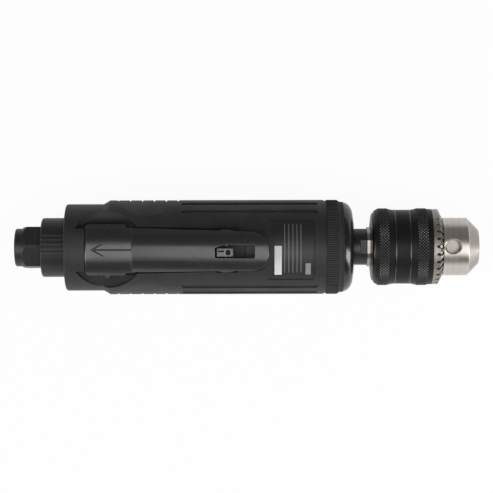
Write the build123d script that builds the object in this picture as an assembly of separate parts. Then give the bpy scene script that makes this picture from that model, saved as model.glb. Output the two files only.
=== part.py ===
from build123d import *
import math
import os

# Straight air drill with a throttle lever on top and a keyed three-jaw chuck in front.
# Millimetres. +X runs along the tool from the air inlet to the chuck, +Z is the lever side,
# and the origin is the centre of the inlet mouth.

# Clearances
RUN = 0.05            # radial, a turning or sliding fit
FIT = 0.03            # radial, a seated piece
FACE = 0.2            # axial, beside a turning face

# Lengths along the tool, rear to front
INLET_RING_LENGTH = 3.5
HEX_LENGTH = 9.0
DEFLECTOR_LENGTH = 11.4
HOUSING_LENGTH = 121.5
CAP_LENGTH = 13.0
COLLAR_LENGTH = 6.3
CHUCK_LENGTH = 52.2
x_deflector = INLET_RING_LENGTH + HEX_LENGTH
x_housing = x_deflector + DEFLECTOR_LENGTH
x_front = x_housing + HOUSING_LENGTH
x_nose = x_front + CAP_LENGTH
x_chuck = x_nose + COLLAR_LENGTH
x_tip = x_chuck + CHUCK_LENGTH

# Air inlet: a threaded bore, then a narrower recess for the screen
INLET_RING_RADIUS = 8.9
INLET_RING_ROUND = 0.8
INLET_BORE_RADIUS = 5.7
INLET_BORE_DEPTH = 11.7
INLET_PORT_RADIUS = 4.6
HEX_FLATS = 18.6
HEX_CHAMFER = 2.2
HEX_HIDDEN = 2.0
HEX_PHASE = 9.0
SHANK_RADIUS = 8.6
SHANK_LENGTH = 18.5
SCREEN_RADIUS = 5.2
SCREEN_GAP = 0.5
SCREEN_THICKNESS = 1.0
SCREEN_HOLE_RADIUS = 0.55
SCREEN_HOLE_PITCH = 1.6
x_screen = INLET_BORE_DEPTH + SCREEN_GAP
x_shank = x_deflector + HEX_HIDDEN
x_valve = x_shank + SHANK_LENGTH
hex_corner = HEX_FLATS / math.sqrt(3)

# Exhaust deflector and muffler
DEFLECTOR_RADIUS = 13.85
DEFLECTOR_WALL = 1.5
DEFLECTOR_LIP = 1.4
DEFLECTOR_MOUTH_GAP = 0.45
DEFLECTOR_EDGE = 1.0
DEFLECTOR_HUB_WALL = 1.4
DEFLECTOR_HUB_LENGTH = 2.7
DEFLECTOR_SPOKES = 4
DEFLECTOR_SPOKE = 2.2
DEFLECTOR_RIBS = 6
DEFLECTOR_RIB_STEP = 8.0
DEFLECTOR_RIB_RADIUS = 0.55
DEFLECTOR_RIB_SUNK = 0.3
DEFLECTOR_RIB_MARGIN = 0.3
DEFLECTOR_PHASE = 8.0
BOSS_WALL = 1.5
MUFFLER_GAP = 0.25

# Vane motor
MOTOR_SETBACK = 46.1
MOTOR_RADIUS = 17.45
REAR_PLATE_LENGTH = 8.5
CYLINDER_LENGTH = 36.0
FRONT_PLATE_LENGTH = 8.5
CYLINDER_BORE_RADIUS = 13.4
ROTOR_OFFSET = 1.0
ROTOR_GAP = 0.1
ROTOR_END_GAP = 0.1
ROTOR_TAIL_GAP = 0.5
VANES = 5
VANE_THICKNESS = 1.5
VANE_DEPTH = 6.5
REAR_BEARING_INNER = 3.0
REAR_BEARING_OUTER = 8.5
REAR_BEARING_LENGTH = 6.0
FRONT_BEARING_INNER = 5.0
FRONT_BEARING_OUTER = 11.0
FRONT_BEARING_LENGTH = 6.0
BEARING_RING_SHARE = 0.24
BEARING_SHIELD_SHARE = 0.1
PORT_RADIUS = 1.1
DOWEL_RADIUS = 1.0
DOWEL_INSET = 1.95
DOWEL_ANGLE = 150.0
DOWEL_REACH = 5.0
EXHAUST_FLAT = 1.6
EXHAUST_FLAT_WIDTH = 14.0
EXHAUST_FLAT_STOP = 4.0
EXHAUST_PORTS = 3
EXHAUST_PORT_RADIUS = 1.6
EXHAUST_PORT_PITCH = 7.2
x_motor = x_housing + MOTOR_SETBACK
x_cylinder = x_motor + REAR_PLATE_LENGTH
x_front_plate = x_cylinder + CYLINDER_LENGTH
x_gears = x_front_plate + FRONT_PLATE_LENGTH
rotor_radius = CYLINDER_BORE_RADIUS - ROTOR_OFFSET - ROTOR_GAP
port_height = (rotor_radius + CYLINDER_BORE_RADIUS + ROTOR_OFFSET) / 2

# Housing outside
HOUSING_WALL = 4.62
REAR_RADIUS = 20.3
REAR_LENGTH = 17.6
RAMP_LENGTH = 3.1
HOUSING_EDGE = 1.0
FRONT_STEP_LENGTH = 1.1
FRONT_STEP_DEPTH = 0.35
body_radius = MOTOR_RADIUS + FIT + HOUSING_WALL

# Throttle lever: a hub under the deck line and an arched paddle; depths are below the body's top
DECK_LENGTH = 9.9
DECK_WIDTH = 20.0
LEVER_GAP = 0.6
LEVER_REAR_GAP = 0.2
HUB_LENGTH = 21.8
HUB_WIDTH = 23.5
HUB_CORNER = 1.2
HUB_CORNER_ROUND = 1.0
HUB_NECK = 3.6
HUB_NECK_SLOPE = 1.0
HUB_REAR_DEPTH = 1.6
HUB_FRONT_DEPTH = 0.3
HUB_CROWN = 20.3
HUB_BOSS_RADIUS = 5.2
HUB_SLOT = 8.4
HUB_ROOF = 3.0
HUB_SKIRT = 5.0
HUB_FRONT_ROOF = 3.5
PADDLE_LENGTH = 62.9
PADDLE_REAR_WIDTH = 20.8
PADDLE_TIP_WIDTH = 17.2
PADDLE_TIP_ROUND = 8.0
PADDLE_DEPTH = 0.1
PADDLE_RISE = 9.0
PADDLE_CROWN = 17.0
PADDLE_THICKNESS = 2.6
PADDLE_EDGE = 5.0
PIVOT_SETBACK = 10.2
PIVOT_DEPTH = 7.6
PIVOT_RADIUS = 1.5
PIN_INSET = 0.1
PIN_PROUD = 1.2
RIB_WIDTH = 7.8
RIB_ROUND = 3.0
WELL_DEPTH = 13.5
x_lever = x_housing + DECK_LENGTH
x_pivot = x_lever + PIVOT_SETBACK
x_crease = x_lever + HUB_LENGTH
x_paddle_tip = x_crease + PADDLE_LENGTH
hub_rear_height = body_radius - HUB_REAR_DEPTH
hub_front_height = body_radius - HUB_FRONT_DEPTH
paddle_height = body_radius - PADDLE_DEPTH
pivot_height = body_radius - PIVOT_DEPTH

# Bowl in the housing around the pivot, and the trough under the paddle
BOWL_RADIUS = 17.8
BOWL_DEPTH = 13.1
BOWL_FLOOR_RADIUS = 80.0
TROUGH_REAR_DEPTH = 4.4
TROUGH_TIP_DEPTH = 0.3
TROUGH_GAP = 0.6
TROUGH_END = 2.4
TROUGH_LAP = 0.5
trough_rear_radius = body_radius - TROUGH_REAR_DEPTH
trough_tip_radius = body_radius - TROUGH_TIP_DEPTH

# Lock lever in the paddle's slot
LOCK_SLOT_START = 38.3
LOCK_SLOT_LENGTH = 18.3
LOCK_SLOT_WIDTH = 6.2
LOCK_SLOT_ROUND = 1.0
LOCK_SLOT_BEVEL = 0.5
LOCK_SLOT_TAPER = 4.5
LOCK_SLOT_TAPER_WIDTH = 1.5
LOCK_PIN_FROM_SLOT = 5.1
LOCK_PIN_DEPTH = 3.9
LOCK_PIN_RADIUS = 1.0
LOCK_PIN_LENGTH = 18.4
LOCK_BOSS_RADIUS = 1.8
LOCK_BOSS_GAP = 0.6
LOCK_BOSS_WIDTH = 19.4
LOCK_EAR_RADIUS = 9.8
LOCK_EAR_ROOM = 9.6
LOCK_WIDTH = 3.7
LOCK_SHIFT = 0.5
LOCK_HUB_RADIUS = 1.9
LOCK_FOOT_LENGTH = 6.1
LOCK_FOOT_ANGLE = 30.0
LOCK_FOOT_WIDTH = 1.6
LOCK_POCKET_DEPTH = 6.0
LOCK_POCKET_BACK = 7.5
LOCK_POCKET_AHEAD = 9.0
LOCK_POCKET_WIDTH = 8.0
LOCK_TAB_BACK = 4.4
LOCK_TAB_AHEAD = 3.4
LOCK_TAB_HEIGHT = 3.6
LOCK_TAB_FALL = 1.1
LOCK_TAB_EDGE = 0.5
LOCK_DIMPLE_RADIUS = 1.2
LOCK_DIMPLE_DEPTH = 1.0
LOCK_DIMPLE_AHEAD = 0.9
LOCK_MARK_LENGTH = 3.1
LOCK_MARK_WIDTH = 0.6
LOCK_MARK_DEPTH = 0.8
LOCK_MARK_BACK = 3.8
LOCK_MARK_ASIDE = 0.6
LOCK_WIRE_RADIUS = 0.26
LOCK_ARM_LENGTH = 2.9

# Throttle valve
VALVE_BORE_RADIUS = 6.6
VALVE_BORE_LENGTH = 17.0
SEAT_LENGTH = 3.0
SEAT_PORT_RADIUS = 3.2
VALVE_DISC_RADIUS = 4.4
VALVE_DISC_LENGTH = 1.2
VALVE_SEAL_LENGTH = 1.0
VALVE_STEM_RADIUS = 1.5
VALVE_STEM_LENGTH = 16.0
SPRING_WIRE = 0.8
SPRING_TURNS = 3
SPRING_BORE_GAP = 0.4
SPRING_DISC_INSET = 0.3
CHAMBER_RADIUS = 6.0
CHAMBER_LENGTH = 17.5
AIR_WAY_LENGTH = 2.5
AIR_WAY_WIDTH = 4.0
PLUNGER_SETBACK = 13.0
PLUNGER_RADIUS = 2.0
PLUNGER_DOME = 0.5
PLUNGER_PLAY = 0.3
PLUNGER_FOOT_GAP = 0.1
BUSH_WALL = 1.4
BUSH_LENGTH = 8.0
BUSH_SUNK = 0.6
PLUNGER_RING_RADIUS = 0.6
PLUNGER_RING_INSET = 0.1
PLUNGER_RING_RISE = 3.0
x_seat = x_valve + VALVE_BORE_LENGTH - SEAT_LENGTH
x_chamber = x_valve + VALVE_BORE_LENGTH
x_chamber_end = x_chamber + CHAMBER_LENGTH
x_plunger = x_seat + PLUNGER_SETBACK
valve_face = x_seat - FIT
bush_radius = PLUNGER_RADIUS + RUN + BUSH_WALL
bush_top = trough_rear_radius - BUSH_SUNK
bush_foot = bush_top - BUSH_LENGTH
plunger_ring_height = bush_foot + PLUNGER_RING_RISE
plunger_foot = VALVE_STEM_RADIUS + PLUNGER_FOOT_GAP

# Exhaust ways, kept on the underside
EXHAUST_SLOT_WALL = 1.7
EXHAUST_SPAN = 34.0
EXHAUST_STEP = 48.0
EXHAUST_MIDDLE = -90.0
COLLECTOR_LENGTH = 2.0
COLLECTOR_SPAN = 120.0
COLLECTOR_LIP = 0.6
x_boss = x_shank + DEFLECTOR_HUB_LENGTH + 3 * FACE
boss_radius = SHANK_RADIUS + FIT + BOSS_WALL
exhaust_inner = SHANK_RADIUS + FIT + EXHAUST_SLOT_WALL
exhaust_outer = DEFLECTOR_RADIUS - DEFLECTOR_WALL - MUFFLER_GAP

# Planetary reduction
MODULE = 0.7
PRESSURE_ANGLE = 25.0
SUN_TEETH = 12
PLANET_TEETH = 15
RING_TEETH = 42
ADDENDUM = 0.65
DEDENDUM = 0.875
BACKLASH = 0.08
FLANK_STEPS = (0.0, 0.4, 0.72, 1.0)
PLANETS = 3
PLANET_LENGTH = 9.5
PLANET_PIN_RADIUS = 1.95
PLANET_PIN_PROUD = 0.4
PLANET_START = 1.0
CARRIER_RADIUS = 13.5
CARRIER_LENGTH = 5.0
CARRIER_GAP = 0.5
planet_orbit = MODULE * (SUN_TEETH + PLANET_TEETH) / 2
x_planets = x_gears + PLANET_START
x_carrier = x_planets + PLANET_LENGTH + CARRIER_GAP

# Front cap, spindle bearing and spindle
SPIGOT_LENGTH = 8.4
SPIGOT_WALL = 1.35
BAND_LENGTH = 5.7
BAND_DEPTH = 0.35
LIP_DEPTH = 0.9
LIP_LENGTH = 1.0
DOME_ROUND = 5.6
NOSE_FACE_RADIUS = 12.5
NOSE_FACE_RISE = 1.3
NOSE_FACE_ROUND = 3.0
NOSE_HOLE_GAP = 0.7
SPINDLE_BEARING_INNER = 8.5
SPINDLE_BEARING_OUTER = 17.5
SPINDLE_BEARING_LENGTH = 10.0
SPINDLE_BEARING_INSET = 6.4
SEAL_LENGTH = 3.0
SEAL_INSET = 1.9
SEAL_WALL = 2.4
CIRCLIP_LENGTH = 1.4
CIRCLIP_DEPTH = 0.6
CIRCLIP_WIDTH = 2.9
CIRCLIP_GAP = 5.0
SHOULDER_RADIUS = 10.4
FLAT_WIDTH = 15.8
FLAT_LENGTH = 3.2
STUD_RADIUS = 4.76
STUD_LENGTH = 13.3
x_spigot = x_front - SPIGOT_LENGTH
x_bearing_front = x_nose - SPINDLE_BEARING_INSET
x_bearing_rear = x_bearing_front - SPINDLE_BEARING_LENGTH
x_seal = x_nose - SEAL_INSET
spindle_radius = SPINDLE_BEARING_INNER
cap_bore_radius = SPINDLE_BEARING_OUTER + FIT
spigot_radius = cap_bore_radius + SPIGOT_WALL
seal_radius = spindle_radius + SEAL_WALL

# Chuck: body, sleeve, toothed ring, split nut and jaws
CHUCK_PHASE = 4.0
CHUCK_HUB_RADIUS = 9.2
CHUCK_HUB_LENGTH = 1.4
CHUCK_HUB_FLATS = 17.4
CHUCK_BACK_RISE = 0.9
CHUCK_BACK_ROUND = 1.6
FLANGE_RADIUS = 16.3
FLANGE_LENGTH = 3.6
CORE_RADIUS = 13.0
SLEEVE_START = 3.4
SLEEVE_WALL = 1.2
SLEEVE_MOUTH_HEIGHT = 0.5
SLEEVE_SHOULDER = 1.4
SLEEVE_BAND_HEIGHT = 0.2
SLEEVE_REAR_BAND = 5.2
SLEEVE_FRONT_BAND = 5.6
SLEEVE_SLOPE = 2.0
SLEEVE_NOSE = 2.1
SLEEVE_WAIST_DEPTH = 0.25
SLEEVE_ROUND = 0.8
KEY_RING_SETBACK = 21.9
KEY_RING_LENGTH = 4.7
KEY_RING_RIM = 2.9
KEY_RING_RELIEF = 1.5
KEY_RING_LAND = 0.3
KEY_TEETH = 30
KEY_TOOTH_DEPTH = 1.5
KEY_GAP_TOP = 0.55
KEY_GAP_ROOT = 0.2
KEY_GAP_RISE = 0.6
BODY_FRONT_RADIUS = 13.5
NOSE_CONE = 5.4
CHUCK_BORE_RADIUS = 5.1
CHUCK_BORE_DEPTH = 35.0
SOCKET_DEPTH = 15.0
SCREW_HOLE_RADIUS = 2.6
KEY_HOLE_RADIUS = 3.2
KEY_HOLE_SETBACK = 12.7
KEY_HOLE_DEPTH = 7.0
KEY_HOLE_CHAMFER = 0.5
KEY_HOLE_MOUTH = 0.9
JAWS = 3
JAW_RADIUS = 3.0
JAW_ANGLE = 17.0
JAW_LENGTH = 36.0
JAW_SETBACK = 3.5
JAW_OPEN = 5.2
JAW_LAND = 0.45
JAW_FACE_ANGLE = 60.0
JAW_AXIS_AT_TIP = 4.9
JAW_SLEEVE_GAP = 0.2
JAW_HOLE_RUNOUT = 4.0
NUT_LENGTH = 4.9
NUT_GAP = 0.15
sleeve_bore_radius = FLANGE_RADIUS + 2 * RUN
sleeve_radius = sleeve_bore_radius + SLEEVE_WALL
x_sleeve = x_chuck + SLEEVE_START
x_key_ring = x_tip - KEY_RING_SETBACK
x_key_hole = x_tip - KEY_HOLE_SETBACK
x_jaw_tip = x_tip - JAW_SETBACK
x_jaw_rear = x_jaw_tip - JAW_LENGTH
jaw_phase = 180.0 / JAWS - CHUCK_PHASE

# Grips on the two sides
PAD_LENGTH = 30.0
PAD_HEIGHT = 31.0
PAD_START = 23.3
PAD_DEPTH = 1.5
PAD_SUNK = 0.2
PAD_NOTCHES = 5
PAD_NOTCH_PITCH = 5.75
PAD_NOTCH_START = 2.775
PAD_NOTCH_DEPTH = 0.6
PAD_NOTCH_WIDTH = 1.0
FLUTE_START = 54.2
FLUTE_LENGTH = 63.4
FLUTE_WIDTH = 3.2
FLUTE_DEPTH = 0.6
FLUTE_ANGLES = (-39.0, -21.0, 21.0, 39.0)

# Recess for the data label
LABEL_START = 93.6
LABEL_LENGTH = 22.4
LABEL_WIDTH = 28.0
LABEL_DEPTH = 0.3
LABEL_CORNER = 2.0

BASE = (Align.CENTER, Align.CENTER, Align.MIN)
FAR = 60.0            # reach of a cut that runs out of the part
x_far = x_tip + FAR


def bar(x0, x1, radius):
    return Pos(x0, 0, 0) * Rot(0, 90, 0) * Cylinder(radius, x1 - x0, align=BASE)


def tube(x0, x1, outer, inner):
    return bar(x0, x1, outer) - bar(x0, x1, inner)


def turned(*points):
    return revolve(make_face(Polyline(*points, close=True)), Axis.X)


def turned_round(points, radii):
    return revolve(make_face(FilletPolyline(*points, radius=radii, close=True)), Axis.X)


def upright(x, z0, z1, radius):
    return Pos(x, 0, z0) * Cylinder(radius, z1 - z0, align=BASE)


def across(x, z, half, radius):
    return Pos(x, 0, z) * Rot(90, 0, 0) * Cylinder(radius, 2 * half)


def block(x0, x1, y0, y1, z0, z1):
    return Pos((x0 + x1) / 2, (y0 + y1) / 2, (z0 + z1) / 2) * Box(x1 - x0, y1 - y0, z1 - z0)


def side_plate(points, half):
    return extrude(Plane.XZ * make_face(Polyline(*points, close=True)), amount=half, both=True)


def plan_prism(face, z0, z1):
    return extrude(Pos(0, 0, z0) * face, amount=z1 - z0)


def sector(x0, x1, r0, r1, middle, span):
    face = make_face(Polyline((x0, r0), (x1, r0), (x1, r1), (x0, r1), close=True))
    return Rot(middle - span / 2, 0, 0) * revolve(face, Axis.X, span)


def around(shape, count, start=0.0):
    return [Rot(start + 360.0 * i / count, 0, 0) * shape for i in range(count)]


def bearing(x0, inner, outer, length):
    """A shielded ball bearing: outer ring with its shields, and inner ring."""
    wall = (outer - inner) * BEARING_RING_SHARE
    bite = length * BEARING_SHIELD_SHARE
    x1 = x0 + length
    ring = tube(x0, x1, outer, outer - wall)
    shield = tube(x0 + bite, x0 + 2 * bite, outer - wall, inner + wall + RUN)
    far_shield = tube(x1 - 2 * bite, x1 - bite, outer - wall, inner + wall + RUN)
    return ring + shield + far_shield, tube(x0, x1, inner + wall, inner)


def involute(angle):
    return math.tan(angle) - angle


def tooth_outline(teeth, inner, outer, slack):
    """Points around a gear whose teeth are centred on angle 0; slack widens the teeth."""
    pitch = MODULE * teeth / 2
    pressure = math.radians(PRESSURE_ANGLE)
    base = pitch * math.cos(pressure)
    half_pitch = (math.pi * MODULE / 2 + slack) / (2 * pitch)

    def half_angle(radius):
        turn = math.acos(min(1.0, base / radius))
        return half_pitch + involute(pressure) - involute(turn)

    start = max(inner, base)
    radii = [start + (outer - start) * step for step in FLANK_STEPS]
    points = []
    for tooth in range(teeth):
        middle = 2 * math.pi * tooth / teeth
        flank = [(inner, half_angle(start))] if inner < base else []
        flank += [(radius, half_angle(radius)) for radius in radii]
        rising = [(radius, middle - angle) for radius, angle in flank]
        falling = [(radius, middle + angle) for radius, angle in reversed(flank)]
        for radius, angle in rising + falling:
            points.append((radius * math.cos(angle), radius * math.sin(angle)))
    return points


def gear(x0, x1, outline):
    return extrude(Plane.YZ.offset(x0) * make_face(Polyline(*outline, close=True)), amount=x1 - x0)


# Lever frames: the origin is on the lever's top line, X runs forward along it
hub_slope = math.degrees(math.atan2(hub_front_height - hub_rear_height, HUB_LENGTH))
hub_frame = Pos(x_lever, 0, hub_rear_height) * Rot(0, -hub_slope, 0)
paddle_frame = Pos(x_crease, 0, paddle_height) * Rot(0, -PADDLE_RISE, 0)
rise = math.radians(PADDLE_RISE)


def paddle_top(x):
    return paddle_height + (x - x_crease) * math.tan(rise)


x_lock_slot = x_crease + LOCK_SLOT_START
x_lock = x_lock_slot + LOCK_PIN_FROM_SLOT
z_lock = paddle_top(x_lock) - LOCK_PIN_DEPTH
z_lock_pocket = z_lock - LOCK_POCKET_DEPTH
plunger_top = paddle_top(x_plunger) - PADDLE_THICKNESS / math.cos(rise) - PLUNGER_PLAY


def paddle_outline(grow, ahead):
    """Plan of the paddle, tapering to a rounded tip."""
    rear = PADDLE_REAR_WIDTH / 2 + grow
    tip = PADDLE_TIP_WIDTH / 2 + grow
    x0 = x_crease - HUB_NECK
    x1 = x_paddle_tip + ahead
    corners = [(x0, -rear), (x1, -tip), (x1, tip), (x0, rear)]
    rounds = [0, PADDLE_TIP_ROUND, PADDLE_TIP_ROUND, 0]
    return make_face(FilletPolyline(*corners, radius=rounds, close=True))


def make_paddle():
    """An arched plate that rises from the crease to the tip, with the lock's slot."""
    arch = tube(-HUB_NECK, PADDLE_LENGTH + FAR, PADDLE_CROWN, PADDLE_CROWN - PADDLE_THICKNESS)
    arch = Pos(0, 0, -PADDLE_CROWN) * arch
    arch = paddle_frame * (arch & block(-FAR, x_far, -FAR, FAR, -PADDLE_EDGE, FAR))
    # the plan bulges into an ear at each end of the lock's pin
    plan = plan_prism(paddle_outline(0, 0), 0, FAR) + upright(x_lock, 0, FAR, LOCK_EAR_RADIUS)
    paddle = arch & plan & block(x_crease, x_far, -FAR, FAR, -FAR, FAR)
    return paddle - plan_prism(lock_slot(), z_lock, FAR)


def lock_slot():
    """Plan of the lock's slot: the rear corners are cut off, the spring's one with a long taper."""
    half = LOCK_SLOT_WIDTH / 2
    x0 = x_lock_slot
    x1 = x_lock_slot + LOCK_SLOT_LENGTH
    corners = [(x0 + LOCK_SLOT_BEVEL, -half), (x1, -half), (x1, half), (x0 + LOCK_SLOT_TAPER, half),
               (x0, half - LOCK_SLOT_TAPER_WIDTH), (x0, LOCK_SLOT_BEVEL - half)]
    rounds = [0, LOCK_SLOT_ROUND, LOCK_SLOT_ROUND, 0, 0, 0]
    return make_face(FilletPolyline(*corners, radius=rounds, close=True))


def ear_room():
    """Plan of the trough beside the paddle's ears, with slanted ends."""
    side = LOCK_EAR_RADIUS + LOCK_BOSS_GAP
    reach = LOCK_EAR_ROOM / 2
    rear = x_lock - reach
    front = x_lock + reach
    corners = [(rear - side, 0), (rear, -side), (front, -side),
               (front + side, 0), (front, side), (rear, side)]
    return make_face(Polyline(*corners, close=True))


def make_hub():
    """A crowned block around the pivot, slotted for the housing's rib."""
    half = HUB_WIDTH / 2
    neck = PADDLE_REAR_WIDTH / 2
    x_neck = x_crease - HUB_NECK
    side = [(x_lever, half - HUB_CORNER), (x_lever + HUB_CORNER, half), (x_neck, half),
            (x_neck + HUB_NECK_SLOPE, neck), (x_crease, neck)]
    other_side = [(x, -y) for x, y in reversed(side)]
    rounds = [HUB_CORNER_ROUND, HUB_CORNER_ROUND, 0, 0, 0]
    rounds = rounds + rounds[::-1]
    plan = make_face(FilletPolyline(*side, *other_side, radius=rounds, close=True))
    low = pivot_height - HUB_BOSS_RADIUS / 2
    web = side_plate([(x_lever, FAR), (x_lever, hub_rear_height - HUB_SKIRT),
                      (x_pivot - HUB_BOSS_RADIUS, low), (x_pivot + HUB_BOSS_RADIUS, low),
                      (x_crease, paddle_height - HUB_FRONT_ROOF), (x_crease, FAR)], half)
    hub = web + across(x_pivot, pivot_height, half, HUB_BOSS_RADIUS)
    hub = hub & (hub_frame * Pos(0, 0, -HUB_CROWN) * bar(-FAR, FAR, HUB_CROWN))
    hub = hub & plan_prism(plan, 0, FAR)
    return hub - hub_frame * block(-FAR, FAR, -HUB_SLOT / 2, HUB_SLOT / 2, -FAR, -HUB_ROOF)


def make_lever():
    # bosses for the lock pin under the paddle's sides
    boss = across(x_lock, z_lock, LOCK_BOSS_WIDTH / 2, LOCK_BOSS_RADIUS)
    boss = boss - plan_prism(lock_slot(), 0, FAR)
    lever = make_paddle() + make_hub() + boss
    lever = lever - across(x_pivot, pivot_height, FAR, PIVOT_RADIUS + FIT)
    return lever - across(x_lock, z_lock, FAR, LOCK_PIN_RADIUS + FIT)


def make_pivot_pin():
    """A pin that ends just inside the hub on one side and stands proud of it on the other."""
    half = (HUB_WIDTH + PIN_PROUD - PIN_INSET) / 2
    return Pos(0, -(PIN_PROUD + PIN_INSET) / 2, 0) * across(x_pivot, pivot_height, half, PIVOT_RADIUS)


def make_lock():
    half = LOCK_WIDTH / 2
    top = z_lock + LOCK_TAB_HEIGHT
    hub = across(x_lock, z_lock, half, LOCK_HUB_RADIUS)
    rear = x_lock - LOCK_TAB_BACK
    front = x_lock + LOCK_TAB_AHEAD
    tab = side_plate([(rear, top - LOCK_TAB_FALL), (x_lock - LOCK_HUB_RADIUS, z_lock),
                      (x_lock + LOCK_HUB_RADIUS, z_lock), (front, top - LOCK_TAB_EDGE),
                      (front - LOCK_TAB_EDGE, top), (rear + LOCK_TAB_EDGE, top - LOCK_TAB_EDGE)], half)
    foot = block(-LOCK_FOOT_WIDTH / 2, LOCK_FOOT_WIDTH / 2, -half, half, -LOCK_FOOT_LENGTH, 0)
    foot = Pos(x_lock, 0, z_lock) * Rot(0, LOCK_FOOT_ANGLE, 0) * foot
    lock = hub + tab + foot
    lock = lock - across(x_lock, z_lock, FAR, LOCK_PIN_RADIUS + RUN)
    lock = lock - upright(x_lock + LOCK_DIMPLE_AHEAD, top - LOCK_DIMPLE_DEPTH, FAR, LOCK_DIMPLE_RADIUS)
    # a stamped line beside the dimple
    mark_start = x_lock - LOCK_MARK_BACK
    mark_side = LOCK_MARK_ASIDE - LOCK_MARK_WIDTH / 2
    mark = block(mark_start, mark_start + LOCK_MARK_LENGTH, mark_side, mark_side + LOCK_MARK_WIDTH,
                 top - LOCK_MARK_DEPTH, FAR)
    return Pos(0, -LOCK_SHIFT, 0) * (lock - mark)


def make_lock_spring():
    y = LOCK_WIDTH / 2 - LOCK_SHIFT + 2 * LOCK_WIRE_RADIUS
    coil = LOCK_PIN_RADIUS + 2 * LOCK_WIRE_RADIUS
    spring = Pos(x_lock, y, z_lock) * Rot(90, 0, 0) * Torus(coil, LOCK_WIRE_RADIUS)
    arm = Cylinder(LOCK_WIRE_RADIUS, LOCK_ARM_LENGTH, align=BASE)
    return spring + Pos(x_lock, y, z_lock + coil) * Rot(0, -90 - PADDLE_RISE, 0) * arm


def pad_shape(side, grow):
    """The oval patch of the shell that a side grip fills."""
    x = x_housing + PAD_START + PAD_LENGTH / 2
    oval = Plane.XZ * Pos(x, 0) * Ellipse(PAD_LENGTH / 2 + grow, PAD_HEIGHT / 2 + grow)
    shell = tube(x_housing, x_front, FAR, body_radius - PAD_SUNK - PAD_DEPTH - grow)
    patch = extrude(oval, amount=-FAR) & shell
    return patch if side > 0 else mirror(patch, about=Plane.XZ)


def make_pad(side):
    """An oval pad with straight notches across its crown."""
    top = body_radius - PAD_SUNK
    half = PAD_NOTCH_WIDTH / 2
    root = top - PAD_NOTCH_DEPTH
    pad = pad_shape(side, 0) & bar(x_housing, x_front, top)
    for i in range(PAD_NOTCHES):
        x = x_housing + PAD_START + PAD_NOTCH_START + i * PAD_NOTCH_PITCH
        notch = Polyline((x - half, side * top), (x, side * root), (x + half, side * top), close=True)
        pad = pad - plan_prism(make_face(notch), -FAR, FAR)
    return pad


def lever_bed():
    """What is cut out of the housing under the lever: bowl, hub well, trough and lock pocket."""
    well_rear = x_lever - LEVER_REAR_GAP
    well_front = x_crease + 2 * LEVER_GAP
    # bowl beside the lever hub, around the pivot
    floor = Sphere(BOWL_FLOOR_RADIUS)
    floor = Pos(x_pivot, 0, body_radius - BOWL_DEPTH + BOWL_FLOOR_RADIUS) * floor
    bowl = upright(x_pivot, 0, FAR, BOWL_RADIUS) & floor
    trough_half = PADDLE_REAR_WIDTH / 2 + TROUGH_GAP
    bowl = bowl - block(0, well_rear, -DECK_WIDTH / 2, DECK_WIDTH / 2, 0, FAR)
    bowl = bowl - block(well_front, x_far, -trough_half, trough_half, 0, FAR)
    # well for the hub, leaving a rib that carries the pivot pin
    half = HUB_WIDTH / 2 + LEVER_GAP / 2
    well = block(well_rear, well_front, -half, half, body_radius - WELL_DEPTH, FAR)
    rib = side_plate([(x_pivot - 2 * RIB_ROUND, 0), (x_pivot - RIB_ROUND, pivot_height),
                      (x_pivot + RIB_ROUND, pivot_height), (x_pivot + 2 * RIB_ROUND, 0)], RIB_WIDTH / 2)
    rib = rib + across(x_pivot, pivot_height, RIB_WIDTH / 2, RIB_ROUND)
    # trough under the paddle, on a cone about the tool's axis
    trough = plan_prism(paddle_outline(TROUGH_GAP, TROUGH_END), 0, FAR) + plan_prism(ear_room(), 0, FAR)
    trough = trough & block(well_front - TROUGH_LAP, x_far, -FAR, FAR, 0, FAR)
    trough = trough - turned((x_housing, 0), (x_housing, trough_rear_radius), (x_crease, trough_rear_radius),
                             (x_paddle_tip, trough_tip_radius), (x_front, trough_tip_radius), (x_front, 0))
    # pocket for the lock's foot and for the bosses that carry its pin
    side = LOCK_POCKET_WIDTH / 2
    pocket = block(x_lock - LOCK_POCKET_BACK, x_lock + LOCK_POCKET_AHEAD, -side, side, z_lock_pocket, FAR)
    side = LOCK_BOSS_WIDTH / 2 + LOCK_BOSS_GAP
    reach = LOCK_BOSS_RADIUS + LOCK_BOSS_GAP
    boss_room = block(x_lock - reach, x_lock + reach + LOCK_BOSS_GAP, -side, side, z_lock_pocket, FAR)
    return [bowl - rib, well - rib, trough, pocket + boss_room,
            across(x_pivot, pivot_height, FAR, PIVOT_RADIUS + FIT)]


def air_ways():
    """The bores on the axis, the plunger's hole, the way to the motor and the exhaust ways back."""
    cuts = [bar(0, x_valve, SHANK_RADIUS + FIT),
            bar(x_valve, x_chamber, VALVE_BORE_RADIUS + FIT),
            bar(x_chamber, x_chamber_end, CHAMBER_RADIUS),
            bar(x_motor, x_front, MOTOR_RADIUS + FIT),
            bar(x_spigot, x_front, spigot_radius + FIT),
            upright(x_plunger, 0, FAR, bush_radius + FIT)]
    side = AIR_WAY_WIDTH / 2
    way_top = port_height + PORT_RADIUS
    cuts.append(block(x_chamber_end - AIR_WAY_LENGTH, x_chamber_end, -side, side, 0, way_top))
    cuts.append(Pos(0, 0, port_height) * bar(x_chamber_end - PORT_RADIUS, x_motor, PORT_RADIUS))
    for step in (-EXHAUST_STEP, 0, EXHAUST_STEP):
        middle = EXHAUST_MIDDLE + step
        cuts.append(sector(x_housing, x_motor, exhaust_inner, exhaust_outer, middle, EXHAUST_SPAN))
    cuts.append(sector(x_motor - COLLECTOR_LENGTH, x_motor, exhaust_inner, MOTOR_RADIUS - COLLECTOR_LIP,
                       EXHAUST_MIDDLE, COLLECTOR_SPAN))
    return cuts


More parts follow.
